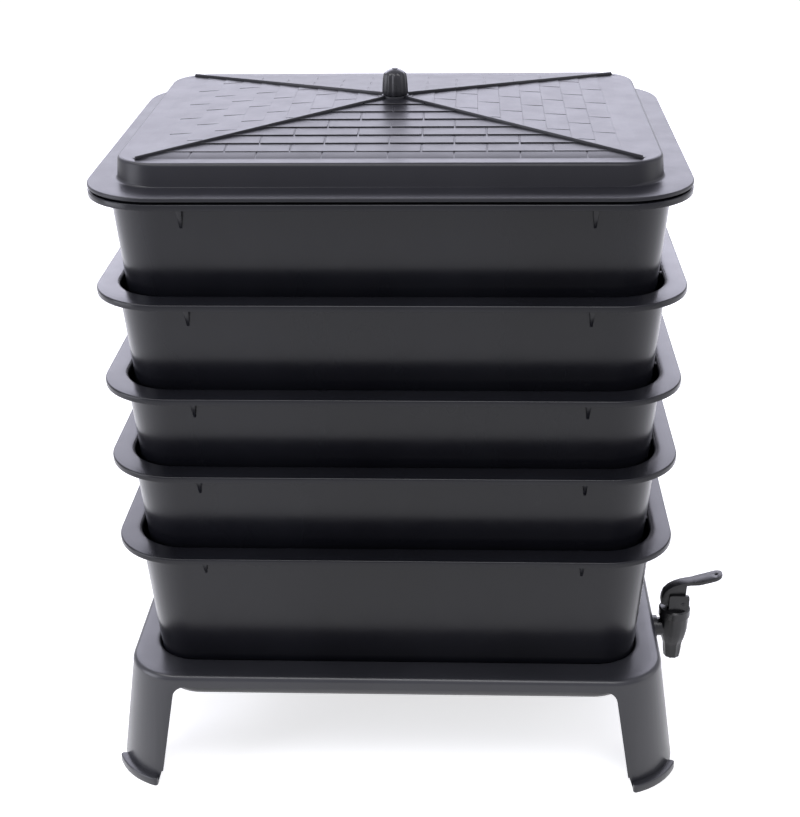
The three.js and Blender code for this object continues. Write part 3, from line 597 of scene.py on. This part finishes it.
def floor_holes():
    """One cutter with all the drain holes."""
    parts = []
    for column in range(HOLE_COLUMNS):
        for row in range(HOLE_ROWS):
            deselect_all()
            across = (column - (HOLE_COLUMNS - 1) / 2) * HOLE_PITCH[0] * MM
            along = (row - (HOLE_ROWS - 1) / 2) * HOLE_PITCH[1] * MM
            bpy.ops.mesh.primitive_cylinder_add(
                vertices=24,
                radius=HOLE_RADIUS * MM,
                depth=12 * MM,
                location=(across, along, WALL / 2 * MM),
            )
            parts.append(settle(bpy.context.object))
    return join(parts)


base_tray = tray_shell()
cut(base_tray, floor_holes())
base_tray = join([base_tray, *gussets()])
stop_heights = {"tray_5": 80.6, "tray_4": 72.9, "tray_3": 84.1, "tray_2": 85.2, "tray_1": 81}
for tray_name, floor_height in tray_floors.items():
    tray = copy_of(base_tray, tray_name + "_moulding")
    tray = join([tray, *stops(stop_heights[tray_name])])
    move(tray, STACK_X, 0, floor_height)
    smooth(tray)
    put_on(tray, tray_name, "moulded_plastic", body_plastic, tray_name)
bpy.data.objects.remove(base_tray)


# Stand: platform, sump, skirt and legs in one moulding, in millimetres above the ground
SUMP_PLAN = (448, 342, 40)
PLATFORM_PLAN = (492, 404, 48)
FOOT_PLAN = (519.4, 445.2, 64)
STAND_TOP = 105.6
PLATE = 3
SUMP_UNDER = 61
SUMP_WALL = 2.6
SUMP_ROUND = 14
LEG_WALL = 3
APRON_FOOT = 95
WINDOW_ROUND = 9
EDGE_DEPTH = 9
FIN_INSIDE = 148.35
FIN_BELOW_TOP = 12
TOE_OUT = 6.2
TOE_HEIGHT = 8
TOE_END = (219, 182.5)
TOE_ROUND = 4
HEEL_CUT = 4.5
TAP_Y = -67
INLET_Z = 81
BORE = 8.05
BOSS_RADIUS = 18
INNER_PAD_RADIUS = 11.8

# Cutters between the legs: half widths, then near and far ends
FRONT_WINDOW = (201.2, 216.5, 187.8, 240)
SIDE_WINDOW = (159, 162, 236.3, 280)
HEEL = (215.5, 187.8, 240)


def sump_draft(z):
    return DRAFT_SHARE * (STAND_TOP - z)


def stand_shell():
    floor = SUMP_UNDER + SUMP_WALL
    skirt_top = STAND_TOP - EDGE_DEPTH
    under_plate = STAND_TOP - PLATE
    flare = 0.6
    # How far each ribbon runs before it is joined
    edge_run, leg_run, under_run, lap, floor_run = 10, 4, 8, 5, 16
    edge = swept("edge", PLATFORM_PLAN, [
        (edge_run, STAND_TOP, 0),
        (0, STAND_TOP, 4.5),
        (-flare, skirt_top, 0),
    ])
    foot = swept("foot", FOOT_PLAN, [
        (0, leg_run, 0),
        (0, 0, 0.6),
        (LEG_WALL, 0, 0.6),
        (LEG_WALL, leg_run, 0),
    ])
    under = swept("under", PLATFORM_PLAN, [
        (LEG_WALL, skirt_top, 0),
        (LEG_WALL, under_plate, 2),
        (LEG_WALL + under_run, under_plate, 0),
    ])
    outer = swept("outer", SUMP_PLAN, [
        (-SUMP_WALL - lap, under_plate, 0),
        (-SUMP_WALL, under_plate, 1.5),
        (sump_draft(SUMP_UNDER) - SUMP_WALL, SUMP_UNDER, SUMP_ROUND),
        (sump_draft(SUMP_UNDER) + floor_run, SUMP_UNDER, 0),
    ])
    inner = swept("inner", SUMP_PLAN, [
        (-lap, STAND_TOP, 0),
        (0, STAND_TOP, 2.5),
        (sump_draft(floor), floor, SUMP_ROUND - SUMP_WALL),
        (sump_draft(floor) + floor_run, floor, 0),
    ])
    shell = join([edge, foot, under, outer, inner])
    plate_half, foot_half, sump_half = PLATFORM_PLAN[0] / 2, FOOT_PLAN[0] / 2, SUMP_PLAN[0] / 2
    plate_end, sump_end = plate_half - LEG_WALL - under_run, sump_half + SUMP_WALL + lap
    bridge(shell, (plate_half - edge_run, STAND_TOP), (sump_half + lap, STAND_TOP))
    bridge(shell, (plate_half + flare, skirt_top), (foot_half, leg_run))
    bridge(shell, (foot_half - LEG_WALL, leg_run), (plate_half - LEG_WALL, skirt_top))
    bridge(shell, (plate_end, under_plate), (sump_end, under_plate))
    close_loop(shell, sump_half - sump_draft(floor) - floor_run, floor)
    close_loop(shell, sump_half - sump_draft(SUMP_UNDER) - floor_run, SUMP_UNDER)
    face_outwards(shell)
    return shell


def window(half_top, half_foot, near, far, turn):
    """A cutter for the gap between two legs: narrower at the top, with rounded upper corners."""
    gap = block("window", (-half_foot, near, -1), (half_foot, far, APRON_FOOT))
    edit(gap)
    pick(gap, "VERT", lambda v: v.co.z > TINY)
    bpy.ops.transform.resize(value=(half_top / half_foot, 1, 1))
    pick(gap, "EDGE", lambda e: (
        min(v.co.z for v in e.verts) > TINY and abs(e.verts[0].co.x - e.verts[1].co.x) < TINY))
    bpy.ops.mesh.bevel(offset=WINDOW_ROUND * MM, segments=6, affect="EDGES")
    done()
    gap.data.transform(Matrix.Rotation(turn, 4, "Z"))
    return gap


def heel(half_foot, near, far, turn):
    """A cutter that takes the inner corner off two legs, beside and just above their toes."""
    half_wide = half_foot + HEEL_CUT
    gap = block("heel", (-half_wide, near, -1), (half_wide, far, TOE_HEIGHT + HEEL_CUT))
    edit(gap)
    pick(gap, "VERT", lambda v: v.co.z > TINY)
    middle = (0, (near + far) / 2 * MM, TOE_HEIGHT * MM)
    bpy.ops.transform.resize(value=(half_foot / half_wide, 1, 1), center_override=middle)
    done()
    gap.data.transform(Matrix.Rotation(turn, 4, "Z"))
    return gap


def toes():
    """A ledge round the foot of each leg, with rounded ends."""
    hidden = LEG_WALL - 0.5
    ring = swept("toes", FOOT_PLAN, [
        (hidden, 0, 0),
        (-TOE_OUT, 0, 0),
        (-TOE_OUT, TOE_HEIGHT, 0),
        (hidden, TOE_HEIGHT, 0),
    ])
    foot_half = FOOT_PLAN[0] / 2
    bridge(ring, (foot_half - hidden, 0), (foot_half - hidden, TOE_HEIGHT))
    face_outwards(ring)
    end_x, end_y = TOE_END
    cut(ring, block("gap", (-end_x, -260, -5), (end_x, 260, 15)))
    cut(ring, block("gap", (-300, -end_y, -5), (300, end_y, 15)))
    edit(ring)
    out_x, out_y = FOOT_PLAN[0] / 2 - 2, FOOT_PLAN[1] / 2 - 2
    pick(ring, "EDGE", lambda e: (
        abs(e.verts[0].co.z - e.verts[1].co.z) > 7 * MM and (
            (abs(abs(e.verts[0].co.x) - end_x * MM) < TINY and abs(e.verts[0].co.y) > out_y * MM)
            or (abs(abs(e.verts[0].co.y) - end_y * MM) < TINY and abs(e.verts[0].co.x) > out_x * MM))))
    bpy.ops.mesh.bevel(offset=TOE_ROUND * MM, segments=5, affect="EDGES")
    done()
    round_edges(ring, 1.1 * MM, 3, STEEP)
    return ring


def sump_fins():
    """Fins in the sump that carry the lowest tray."""
    parts = []
    foot, knee = SUMP_UNDER + SUMP_WALL / 2, SUMP_UNDER + SUMP_ROUND
    head = STAND_TOP - FIN_BELOW_TOP
    for side in (-1, 1):
        for across in (-FIN_X, FIN_X):
            far = side * (SUMP_PLAN[1] / 2 + SUMP_WALL / 2 - sump_draft(knee))
            near = side * FIN_INSIDE
            fin = block("sump_fin", (across - FIN_HALF, near, knee), (across + FIN_HALF, far, head))
            edit(fin)
            pick(fin, "FACE", lambda f: f.normal.z < -0.9)
            bpy.ops.mesh.extrude_region_move(TRANSFORM_OT_translate={"value": (0, 0, (foot - knee) * MM)})
            pick(fin, "VERT", lambda v, far=far: v.co.z < (foot + 1) * MM and abs(v.co.y - far * MM) < TINY)
            bpy.ops.transform.translate(value=(0, -side * SUMP_ROUND * MM, 0))
            done()
            round_edges(fin, 0.5 * MM)
            parts.append(fin)
    return parts


def disc_along_x(radius, start, end, y, z, bore=0):
    """A disc lying along X. Where asked, it gets a bore and softened edges."""
    deselect_all()
    bpy.ops.mesh.primitive_cylinder_add(
        vertices=64,
        radius=radius * MM,
        depth=abs(end - start) * MM,
        location=((start + end) / 2 * MM, y * MM, z * MM),
        rotation=(0, math.pi / 2, 0),
    )
    disc = settle(bpy.context.object)
    if bore:
        cut(disc, disc_along_x(bore, start - 5, end + 5, y, z))
        round_edges(disc, 0.5 * MM)
    return disc


wall_out = SUMP_PLAN[0] / 2 + SUMP_WALL - sump_draft(INLET_Z)
stand = stand_shell()
for turn in (0, math.pi):
    cut(stand, window(*FRONT_WINDOW, turn))
    cut(stand, heel(*HEEL, turn))
for turn in (math.pi / 2, -math.pi / 2):
    cut(stand, window(*SIDE_WINDOW, turn))
cut(stand, disc_along_x(BORE, wall_out - 6, wall_out + 4, TAP_Y, INLET_Z))
round_edges(stand, 0.7 * MM, 2, STEEP)
boss = disc_along_x(BOSS_RADIUS, wall_out - 1.3, wall_out + 10, TAP_Y, INLET_Z, BORE)
pad = disc_along_x(INNER_PAD_RADIUS, wall_out - 6.6, wall_out + 9.9, TAP_Y, INLET_Z, BORE)
stand = join([stand, toes(), *sump_fins(), boss, pad])
stand.name = "stand_moulding"
move(stand, STACK_X)
smooth(stand)
put_on(stand, "stand", "moulded_plastic", stand_plastic_painted_light, "stand")


# Lid, in millimetres above the top tray's rim
PLATEAU_PLAN = (452, 342, 38)
FLANGE_UNDER = 2.1
FLANGE_TOP = 5.3
PLATEAU_TOP = 24.5
PEAK = 40.1
SHELL = 2.5
SKIRT_INSET = 4.51
SKIRT_FOOT = -9
FLAT_ENOUGH = 0.98
HIP_HALF = (206.7, 156.7)
PAD_RADIUS = 12
ROW_DEPTH = 19.5
ROW_START = 141
TILE_LENGTH = 52.7
TILE_PITCH = 54
TILE_RISE = 0.95
FAINT_RISE = 0.5
TILE_SUNK = 0.4
TILE_FLUSH = 0.05
BORDER_DEPTH = 14.6
BORDER_LAP = 1.5
BORDER_RISE = 0.45
RIB_HALF = 1.2
RIB_RISE = 2.6
RIB_TOP_SHARE = 0.8
PAD_RISE = 1.4


def lid_shell():
    plateau_under = PLATEAU_TOP - SHELL
    lean = 1.5
    # How far each ribbon runs before it is joined
    rim_run, skirt_run, lap, top_run, under_run, wall_run, hip_run = 13, 1.5, 6, 11, 12, 4, 0.4
    flange = swept("flange", RIM_PLAN, [
        (rim_run, FLANGE_TOP, 0),
        (0, FLANGE_TOP, 1.2),
        (0, FLANGE_UNDER, 0.5),
        (8, FLANGE_UNDER, 0.4),
        (8, 0, 0.4),
        (11, 0, 0.4),
        (11, FLANGE_UNDER, 0.4),
        (rim_run, FLANGE_UNDER, 0),
    ])
    skirt = swept("skirt", TRAY_PLAN, [
        (skirt_run, FLANGE_UNDER, 0),
        (SKIRT_INSET, FLANGE_UNDER, 0.8),
        (SKIRT_INSET, SKIRT_FOOT, 0.7),
        (SKIRT_INSET + SHELL, SKIRT_FOOT, 0.7),
        (SKIRT_INSET + SHELL, FLANGE_UNDER, 0),
    ])
    plateau = swept("plateau", PLATEAU_PLAN, [
        (-lap, FLANGE_TOP, 0),
        (0, FLANGE_TOP, 2.5),
        (lean, PLATEAU_TOP, 3),
        (top_run, PLATEAU_TOP, 0),
    ])
    hollow = swept("hollow", PLATEAU_PLAN, [
        (lean + SHELL, plateau_under - wall_run, 0),
        (lean + SHELL, plateau_under, 2),
        (under_run, plateau_under, 0),
    ])
    hip_plan = (HIP_HALF[0] * 2, HIP_HALF[1] * 2, 2)
    roof = swept("roof", hip_plan, [(hip_run, PLATEAU_TOP, 0), (0, PLATEAU_TOP, 0)])
    ceiling = swept("ceiling", hip_plan, [(hip_run, plateau_under, 0), (0, plateau_under, 0)])
    close_loop(roof, HIP_HALF[0] - hip_run, PLATEAU_TOP, PEAK)
    close_loop(ceiling, HIP_HALF[0] - hip_run, plateau_under, PEAK - SHELL)
    lid = join([flange, skirt, plateau, hollow, roof, ceiling])
    rim_half, wall_half, top_half = RIM_PLAN[0] / 2, TRAY_PLAN[0] / 2, PLATEAU_PLAN[0] / 2
    skirt_inside = wall_half - SKIRT_INSET - SHELL
    bridge(lid, (rim_half - rim_run, FLANGE_TOP), (top_half + lap, FLANGE_TOP))
    bridge(lid, (rim_half - rim_run, FLANGE_UNDER), (wall_half - skirt_run, FLANGE_UNDER))
    bridge(lid, (skirt_inside, FLANGE_UNDER), (top_half - lean - SHELL, plateau_under - wall_run))
    bridge(lid, (top_half - top_run, PLATEAU_TOP), (HIP_HALF[0], PLATEAU_TOP))
    bridge(lid, (top_half - under_run, plateau_under), (HIP_HALF[0], plateau_under))
    face_outwards(lid)
    smooth(lid)
    edit(lid)
    level = PLATEAU_TOP * MM - TINY
    pick(lid, "FACE", lambda f: level < f.calc_center_median().z and abs(f.normal.z) > FLAT_ENOUGH)
    bpy.ops.mesh.faces_shade_flat()
    done()
    return lid


def tile(rise):
    """One brick of the lid's pattern: raised along its outer edge, flush along its inner one."""
    wedge = block("tile", (-TILE_LENGTH / 2, -ROW_DEPTH, -TILE_SUNK), (TILE_LENGTH / 2, 0, rise))
    edit(wedge)
    pick(wedge, "VERT", lambda v: v.co.z > 0 and v.co.y > -TINY)
    bpy.ops.transform.translate(value=(0, 0, (TILE_FLUSH - rise) * MM))
    done()
    round_edges(wedge, 0.22 * MM, 1)
    return wedge


def border_tile():
    """A brick of the outermost row: level, with its outer edge sloped off."""
    half = TILE_LENGTH / 2 + 0.2
    plate = block("border_tile", (-half, -BORDER_DEPTH, -TILE_SUNK), (half, BORDER_LAP, BORDER_RISE))
    edit(plate)
    pick(plate, "VERT", lambda v: v.co.z > 0 and v.co.y < -14 * MM)
    bpy.ops.transform.translate(value=(0, 3 * MM, 0))
    pick(plate, "VERT", lambda v: v.co.z < 0 and v.co.y < -14 * MM)
    bpy.ops.transform.translate(value=(0, -1.5 * MM, 0))
    done()
    round_edges(plate, 0.2 * MM, 1)
    return plate


def halve(obj, normal):
    """Cuts off what lies on the far side of an upright plane through the middle, and closes the cut."""
    edit(obj)
    bpy.ops.mesh.select_all(action="SELECT")
    normal = Vector(normal).normalized()
    bpy.ops.mesh.bisect(plane_co=(0, 0, 0), plane_no=normal, use_fill=True, clear_outer=True)
    done()


def bricks(brick, deep, wide, turn, border=None):
    """One sector's rows, laid flat towards -Y, trimmed along the hips, then tilted on to the roof.
    Only the front one has a border row."""
    parts = []
    row = 0
    first_row = ROW_START + deep - HIP_HALF[1]
    outer = first_row
    while outer > PAD_RADIUS:
        reach = wide * (outer / deep)
        shift = 0 if row % 2 == 0 else 0.5
        columns = math.ceil(reach / TILE_PITCH) + 1
        for column in range(-columns, columns + 1):
            across = (column + shift) * TILE_PITCH
            if abs(across) - TILE_LENGTH / 2 < reach:
                parts.append(move(copy_of(brick, "tile"), across * MM, -(outer - ROW_DEPTH) * MM))
        outer -= ROW_DEPTH
        row += 1
    if border:
        columns = math.ceil(wide / TILE_PITCH) + 1
        for column in range(-columns, columns):
            across = (column + 0.5) * TILE_PITCH
            if abs(across) - TILE_LENGTH / 2 < wide:
                parts.append(move(copy_of(border, "tile"), across * MM, -first_row * MM))
    sector = join(parts)
    halve(sector, (deep, wide, 0))
    halve(sector, (-deep, wide, 0))
    slope = math.atan2(PEAK - PLATEAU_TOP, deep)
    sector.data.transform(Matrix.Rotation(slope, 4, "X"))
    sector.data.transform(Matrix.Rotation(turn, 4, "Z"))
    move(sector, 0, 0, PEAK * MM)
    return sector


def hip_ribs():
    """Four raised ribs along the hips, from the pad to the corners."""
    run = math.hypot(*HIP_HALF)
    slope = math.atan2(PEAK - PLATEAU_TOP, run)
    length = math.hypot(run, PEAK - PLATEAU_TOP)
    heading = math.atan2(HIP_HALF[1], HIP_HALF[0])
    bar = block("hip_rib", (PAD_RADIUS - 3, -RIB_HALF, -RIB_HALF), (length, RIB_HALF, RIB_RISE))
    edit(bar)
    pick(bar, "VERT", lambda v: v.co.x > (length - 1) * MM and v.co.z > 0)
    bpy.ops.transform.translate(value=(-1.6 * MM, 0, 0))
    pick(bar, "VERT", lambda v: v.co.z > 0)
    bpy.ops.transform.resize(value=(1, RIB_TOP_SHARE, 1))
    done()
    round_edges(bar, 0.5 * MM, 2)
    ribs = []
    for turn in (heading, math.pi - heading, math.pi + heading, -heading):
        rib = copy_of(bar, "hip_rib")
        rib.data.transform(Matrix.Rotation(slope, 4, "Y"))
        rib.data.transform(Matrix.Rotation(turn, 4, "Z"))
        ribs.append(move(rib, 0, 0, PEAK * MM))
    bpy.data.objects.remove(bar)
    return ribs


def knob_pad():
    deselect_all()
    low, high = (PEAK - SHELL - PAD_RISE) * MM, (PEAK + PAD_RISE) * MM
    bpy.ops.mesh.primitive_cylinder_add(
        vertices=64, radius=PAD_RADIUS * MM, depth=high - low, location=(0, 0, (low + high) / 2),
    )
    pad = settle(bpy.context.object)
    round_edges(pad, 0.6 * MM, 2)
    return pad


RIM_TOP = tray_high.z
brick = tile(TILE_RISE)
faint_brick = tile(FAINT_RISE)
border = border_tile()
sectors = [
    bricks(brick, HIP_HALF[1], HIP_HALF[0], 0, border),
    bricks(faint_brick, HIP_HALF[0], HIP_HALF[1], math.pi / 2),
    bricks(faint_brick, HIP_HALF[1], HIP_HALF[0], math.pi),
    bricks(faint_brick, HIP_HALF[0], HIP_HALF[1], -math.pi / 2),
]
bpy.data.objects.remove(brick)
bpy.data.objects.remove(faint_brick)
bpy.data.objects.remove(border)
relief = join([*sectors, *hip_ribs(), knob_pad()])
smooth(relief)
lid = join([lid_shell(), relief])
lid.name = "lid_moulding"
move(lid, STACK_X, 0, RIM_TOP)
put_on(lid, "lid", "moulded_plastic", lid_plastic, "lid")


# Knob: a fluted barrel with a low dome, in millimetres above the lid's pad
KNOB_FLUTES = 12
FLUTE_STEPS = 8
FLUTE_DEPTH = 0.85
KNOB_BARREL = [
    (10.6, 0), (11.3, 0.5), (11.6, 1.6), (11.5, 5),
    (11.2, 10), (10.7, 15), (10.2, 18.2), (9.6, 19.4),
]
KNOB_DOME = [(8.6, 20.2), (7.2, 21.2), (5.2, 22.2), (3.4, 22.8), (2.6, 23), (2.4, 23.6), (1.4, 23.8)]


def flute(obj, height, depth):
    """Draws in the flutes of one ring, group by group round the circle."""
    step = 2 * math.pi / (KNOB_FLUTES * FLUTE_STEPS)
    for group in range(1, FLUTE_STEPS):
        pick(obj, "VERT", lambda v, group=group: (
            abs(v.co.z - height) < TINY and round(math.atan2(v.co.y, v.co.x) / step) % FLUTE_STEPS == group))
        share = 1 - depth * math.sin(math.pi * group / FLUTE_STEPS) ** 2
        bpy.ops.transform.resize(value=(share, share, 1))


def knob():
    (radius, height), *rings = KNOB_BARREL
    deselect_all()
    bpy.ops.mesh.primitive_circle_add(
        vertices=KNOB_FLUTES * FLUTE_STEPS,
        radius=radius * MM,
        fill_type="NGON",
        location=(0, 0, height * MM),
    )
    obj = bpy.context.object
    settle(obj)
    edit(obj)
    depth = FLUTE_DEPTH / radius
    flute(obj, height * MM, depth)
    for wide, high in rings + KNOB_DOME:
        pick(obj, "EDGE", lambda e, height=height: all(abs(v.co.z - height * MM) < TINY for v in e.verts))
        rise = {"value": (0, 0, (high - height) * MM)}
        bpy.ops.mesh.extrude_edges_move(TRANSFORM_OT_translate=rise)
        share = wide / radius
        bpy.ops.transform.resize(value=(share, share, 1))
        if (wide, high) == KNOB_DOME[0]:
            flute(obj, high * MM, 1 - 1 / (1 - depth))
        radius, height = wide, high
    pick(obj, "EDGE", lambda e: all(abs(v.co.z - height * MM) < TINY for v in e.verts))
    bpy.ops.mesh.edge_face_add()
    bpy.ops.mesh.select_all(action="SELECT")
    bpy.ops.mesh.normals_make_consistent(inside=False)
    done()
    return obj


lid_knob = knob()
lid_knob.name = "lid_knob_moulding"
move(lid_knob, STACK_X, 0, RIM_TOP + (PEAK + PAD_RISE) * MM)
smooth(lid_knob)
put_on(lid_knob, "lid", "moulded_plastic", knob_plastic, "lid_knob")


# What is still taken from the solids
def softened(node, body, slot, finish, width):
    """A merged copy of a node, with softened edges where a width is given."""
    piece = copy_of(nodes[node], node + "_finish")
    piece.parent = None
    for key in list(piece.keys()):
        del piece[key]
    edit(piece)
    bpy.ops.mesh.select_all(action="SELECT")
    bpy.ops.mesh.remove_doubles(threshold=TINY / 4)
    bpy.ops.mesh.dissolve_limited(angle_limit=math.radians(0.4))
    done()
    bpy.ops.mesh.customdata_custom_splitnormals_clear()
    if width:
        round_edges(piece, width)
    smooth(piece)
    put_on(piece, body, slot, finish, node)


LEVER_SOFT = 0.35
softened("tap_lever", "tap_lever", "tap_plastic", tap_plastic, LEVER_SOFT * MM)
for node_name, body_name in (("tap_body", "stand"), ("tap_bonnet", "stand"), ("tap_back_nut", "stand"),
                             ("tap_stem", "tap_stem")):
    softened(node_name, body_name, "tap_plastic", tap_plastic, 0)
for node_name, body_name in (("tap_gasket_outer", "stand"), ("tap_gasket_inner", "stand"),
                             ("tap_seat", "tap_stem")):
    softened(node_name, body_name, "seal_rubber", rubber, 0)
for node_name, body_name in (("tap_spring", "stand"), ("lid_knob_washer", "lid"), ("lid_knob_screw", "lid")):
    softened(node_name, body_name, "plain_steel", steel, 0)
for node_name in ("tap_lever_pin", "tap_stem_pin"):
    softened(node_name, "tap_lever", "plain_steel", dark_steel, 0)


# Floor and world: one pale background, and a floor that keeps the object's shadow
FLOOR_LIFT = 0.65
WORLD_LIGHT = 0.42
WORLD_LIFT = 0.6


def calculate(tree, operation, first, second):
    """The sum, product or greater of two values. Each is an output socket or a plain number."""
    step = tree.nodes.new("ShaderNodeMath")
    step.operation = operation
    for place, value in enumerate((first, second)):
        if isinstance(value, (int, float)):
            step.inputs[place].default_value = value
        else:
            tree.links.new(value, step.inputs[place])
    return step.outputs[0]


def background_rays(tree):
    """1 for the rays that meet the background as it looks, 0 for those that only carry light."""
    path = tree.nodes.new("ShaderNodeLightPath")
    seen = calculate(tree, "MAXIMUM", path.outputs["Is Camera Ray"], path.outputs["Is Glossy Ray"])
    return calculate(tree, "MAXIMUM", seen, path.outputs["Is Transmission Ray"])


def pale_floor():
    """One even pale colour. Camera, glossy and transmission rays all meet the same background."""
    made, tree, shader = material("pale_floor")
    tree.nodes.remove(shader)
    cloth = tree.nodes.new("ShaderNodeBsdfDiffuse")
    cloth.inputs["Color"].default_value = (0.93, 0.93, 0.94, 1)
    lift = tree.nodes.new("ShaderNodeEmission")
    tree.links.new(calculate(tree, "MULTIPLY", background_rays(tree), FLOOR_LIFT), lift.inputs["Strength"])
    both = tree.nodes.new("ShaderNodeAddShader")
    tree.links.new(cloth.outputs[0], both.inputs[0])
    tree.links.new(lift.outputs[0], both.inputs[1])
    tree.links.new(both.outputs[0], tree.nodes["Material Output"].inputs["Surface"])
    deselect_all()
    bpy.ops.mesh.primitive_plane_add(size=24, location=(0, 0, 0))
    sheet = settle(bpy.context.object)
    sheet.name = "studio_floor"
    sheet.data.materials.append(made)


pale_floor()

world = bpy.data.worlds.new("studio")
bpy.context.scene.world = world
world.use_nodes = True
sky = world.node_tree
sky.nodes["Background"].inputs["Color"].default_value = (0.98, 0.98, 1.1, 1)
shown = calculate(sky, "MULTIPLY", background_rays(sky), WORLD_LIFT)
strength = calculate(sky, "ADD", shown, WORLD_LIGHT)
sky.links.new(strength, sky.nodes["Background"].inputs["Strength"])


def soft_box(name, place, target, width, height, radiance, tint=(1, 1, 1)):
    """A plain rectangular soft light, with its power worked out from how bright its face is."""
    lamp = bpy.data.lights.new(name, "AREA")
    lamp.shape = "RECTANGLE"
    lamp.size = width
    lamp.size_y = height
    lamp.energy = radiance * math.pi * width * height
    lamp.color = tint
    holder = bpy.data.objects.new(name, lamp)
    bpy.context.scene.collection.objects.link(holder)
    holder.location = place
    aim = Vector(target) - Vector(place)
    holder.rotation_mode = "QUATERNION"
    holder.rotation_quaternion = aim.to_track_quat("-Z", "Y")


soft_box(
    "back_light", place=(-0.2, 2.4, 1.75), target=(0, 0, 0.4),
    width=3.8, height=1.7, radiance=3.1, tint=(0.93, 0.92, 1.1),
)
soft_box(
    "left_light", place=(-1.8, -0.7, 0.7), target=(0, 0, 0.3),
    width=1.1, height=1.4, radiance=3.6, tint=(0.95, 0.96, 1.05),
)
soft_box(
    "right_light", place=(1.9, -0.2, 0.8), target=(0, 0, 0.3),
    width=1.0, height=1.4, radiance=1.1,
)
soft_box(
    "top_light", place=(-0.1, -0.45, 1.15), target=(-0.05, -0.38, 0),
    width=1.5, height=0.4, radiance=4.6,
)

# Camera at the photograph's viewing angle
CAMERA_PLACE = (STACK_X + 0.0651, -1.3970, 0.9128)
lens = bpy.data.cameras.new("camera")
lens.lens = 69.2
lens.sensor_width = 36
camera = bpy.data.objects.new("camera", lens)
bpy.context.scene.collection.objects.link(camera)
ahead = Vector((-0.04233, 0.91114, -0.40992)).normalized()
right = Vector((0.99909, 0.04047, -0.01321))
right = (right - ahead * right.dot(ahead)).normalized()
above = right.cross(ahead)
camera.matrix_world = Matrix((
    (right.x, above.x, -ahead.x, CAMERA_PLACE[0]),
    (right.y, above.y, -ahead.y, CAMERA_PLACE[1]),
    (right.z, above.z, -ahead.z, CAMERA_PLACE[2]),
    (0, 0, 0, 1),
))
bpy.context.scene.camera = camera
bpy.context.scene.view_settings.view_transform = "Standard"
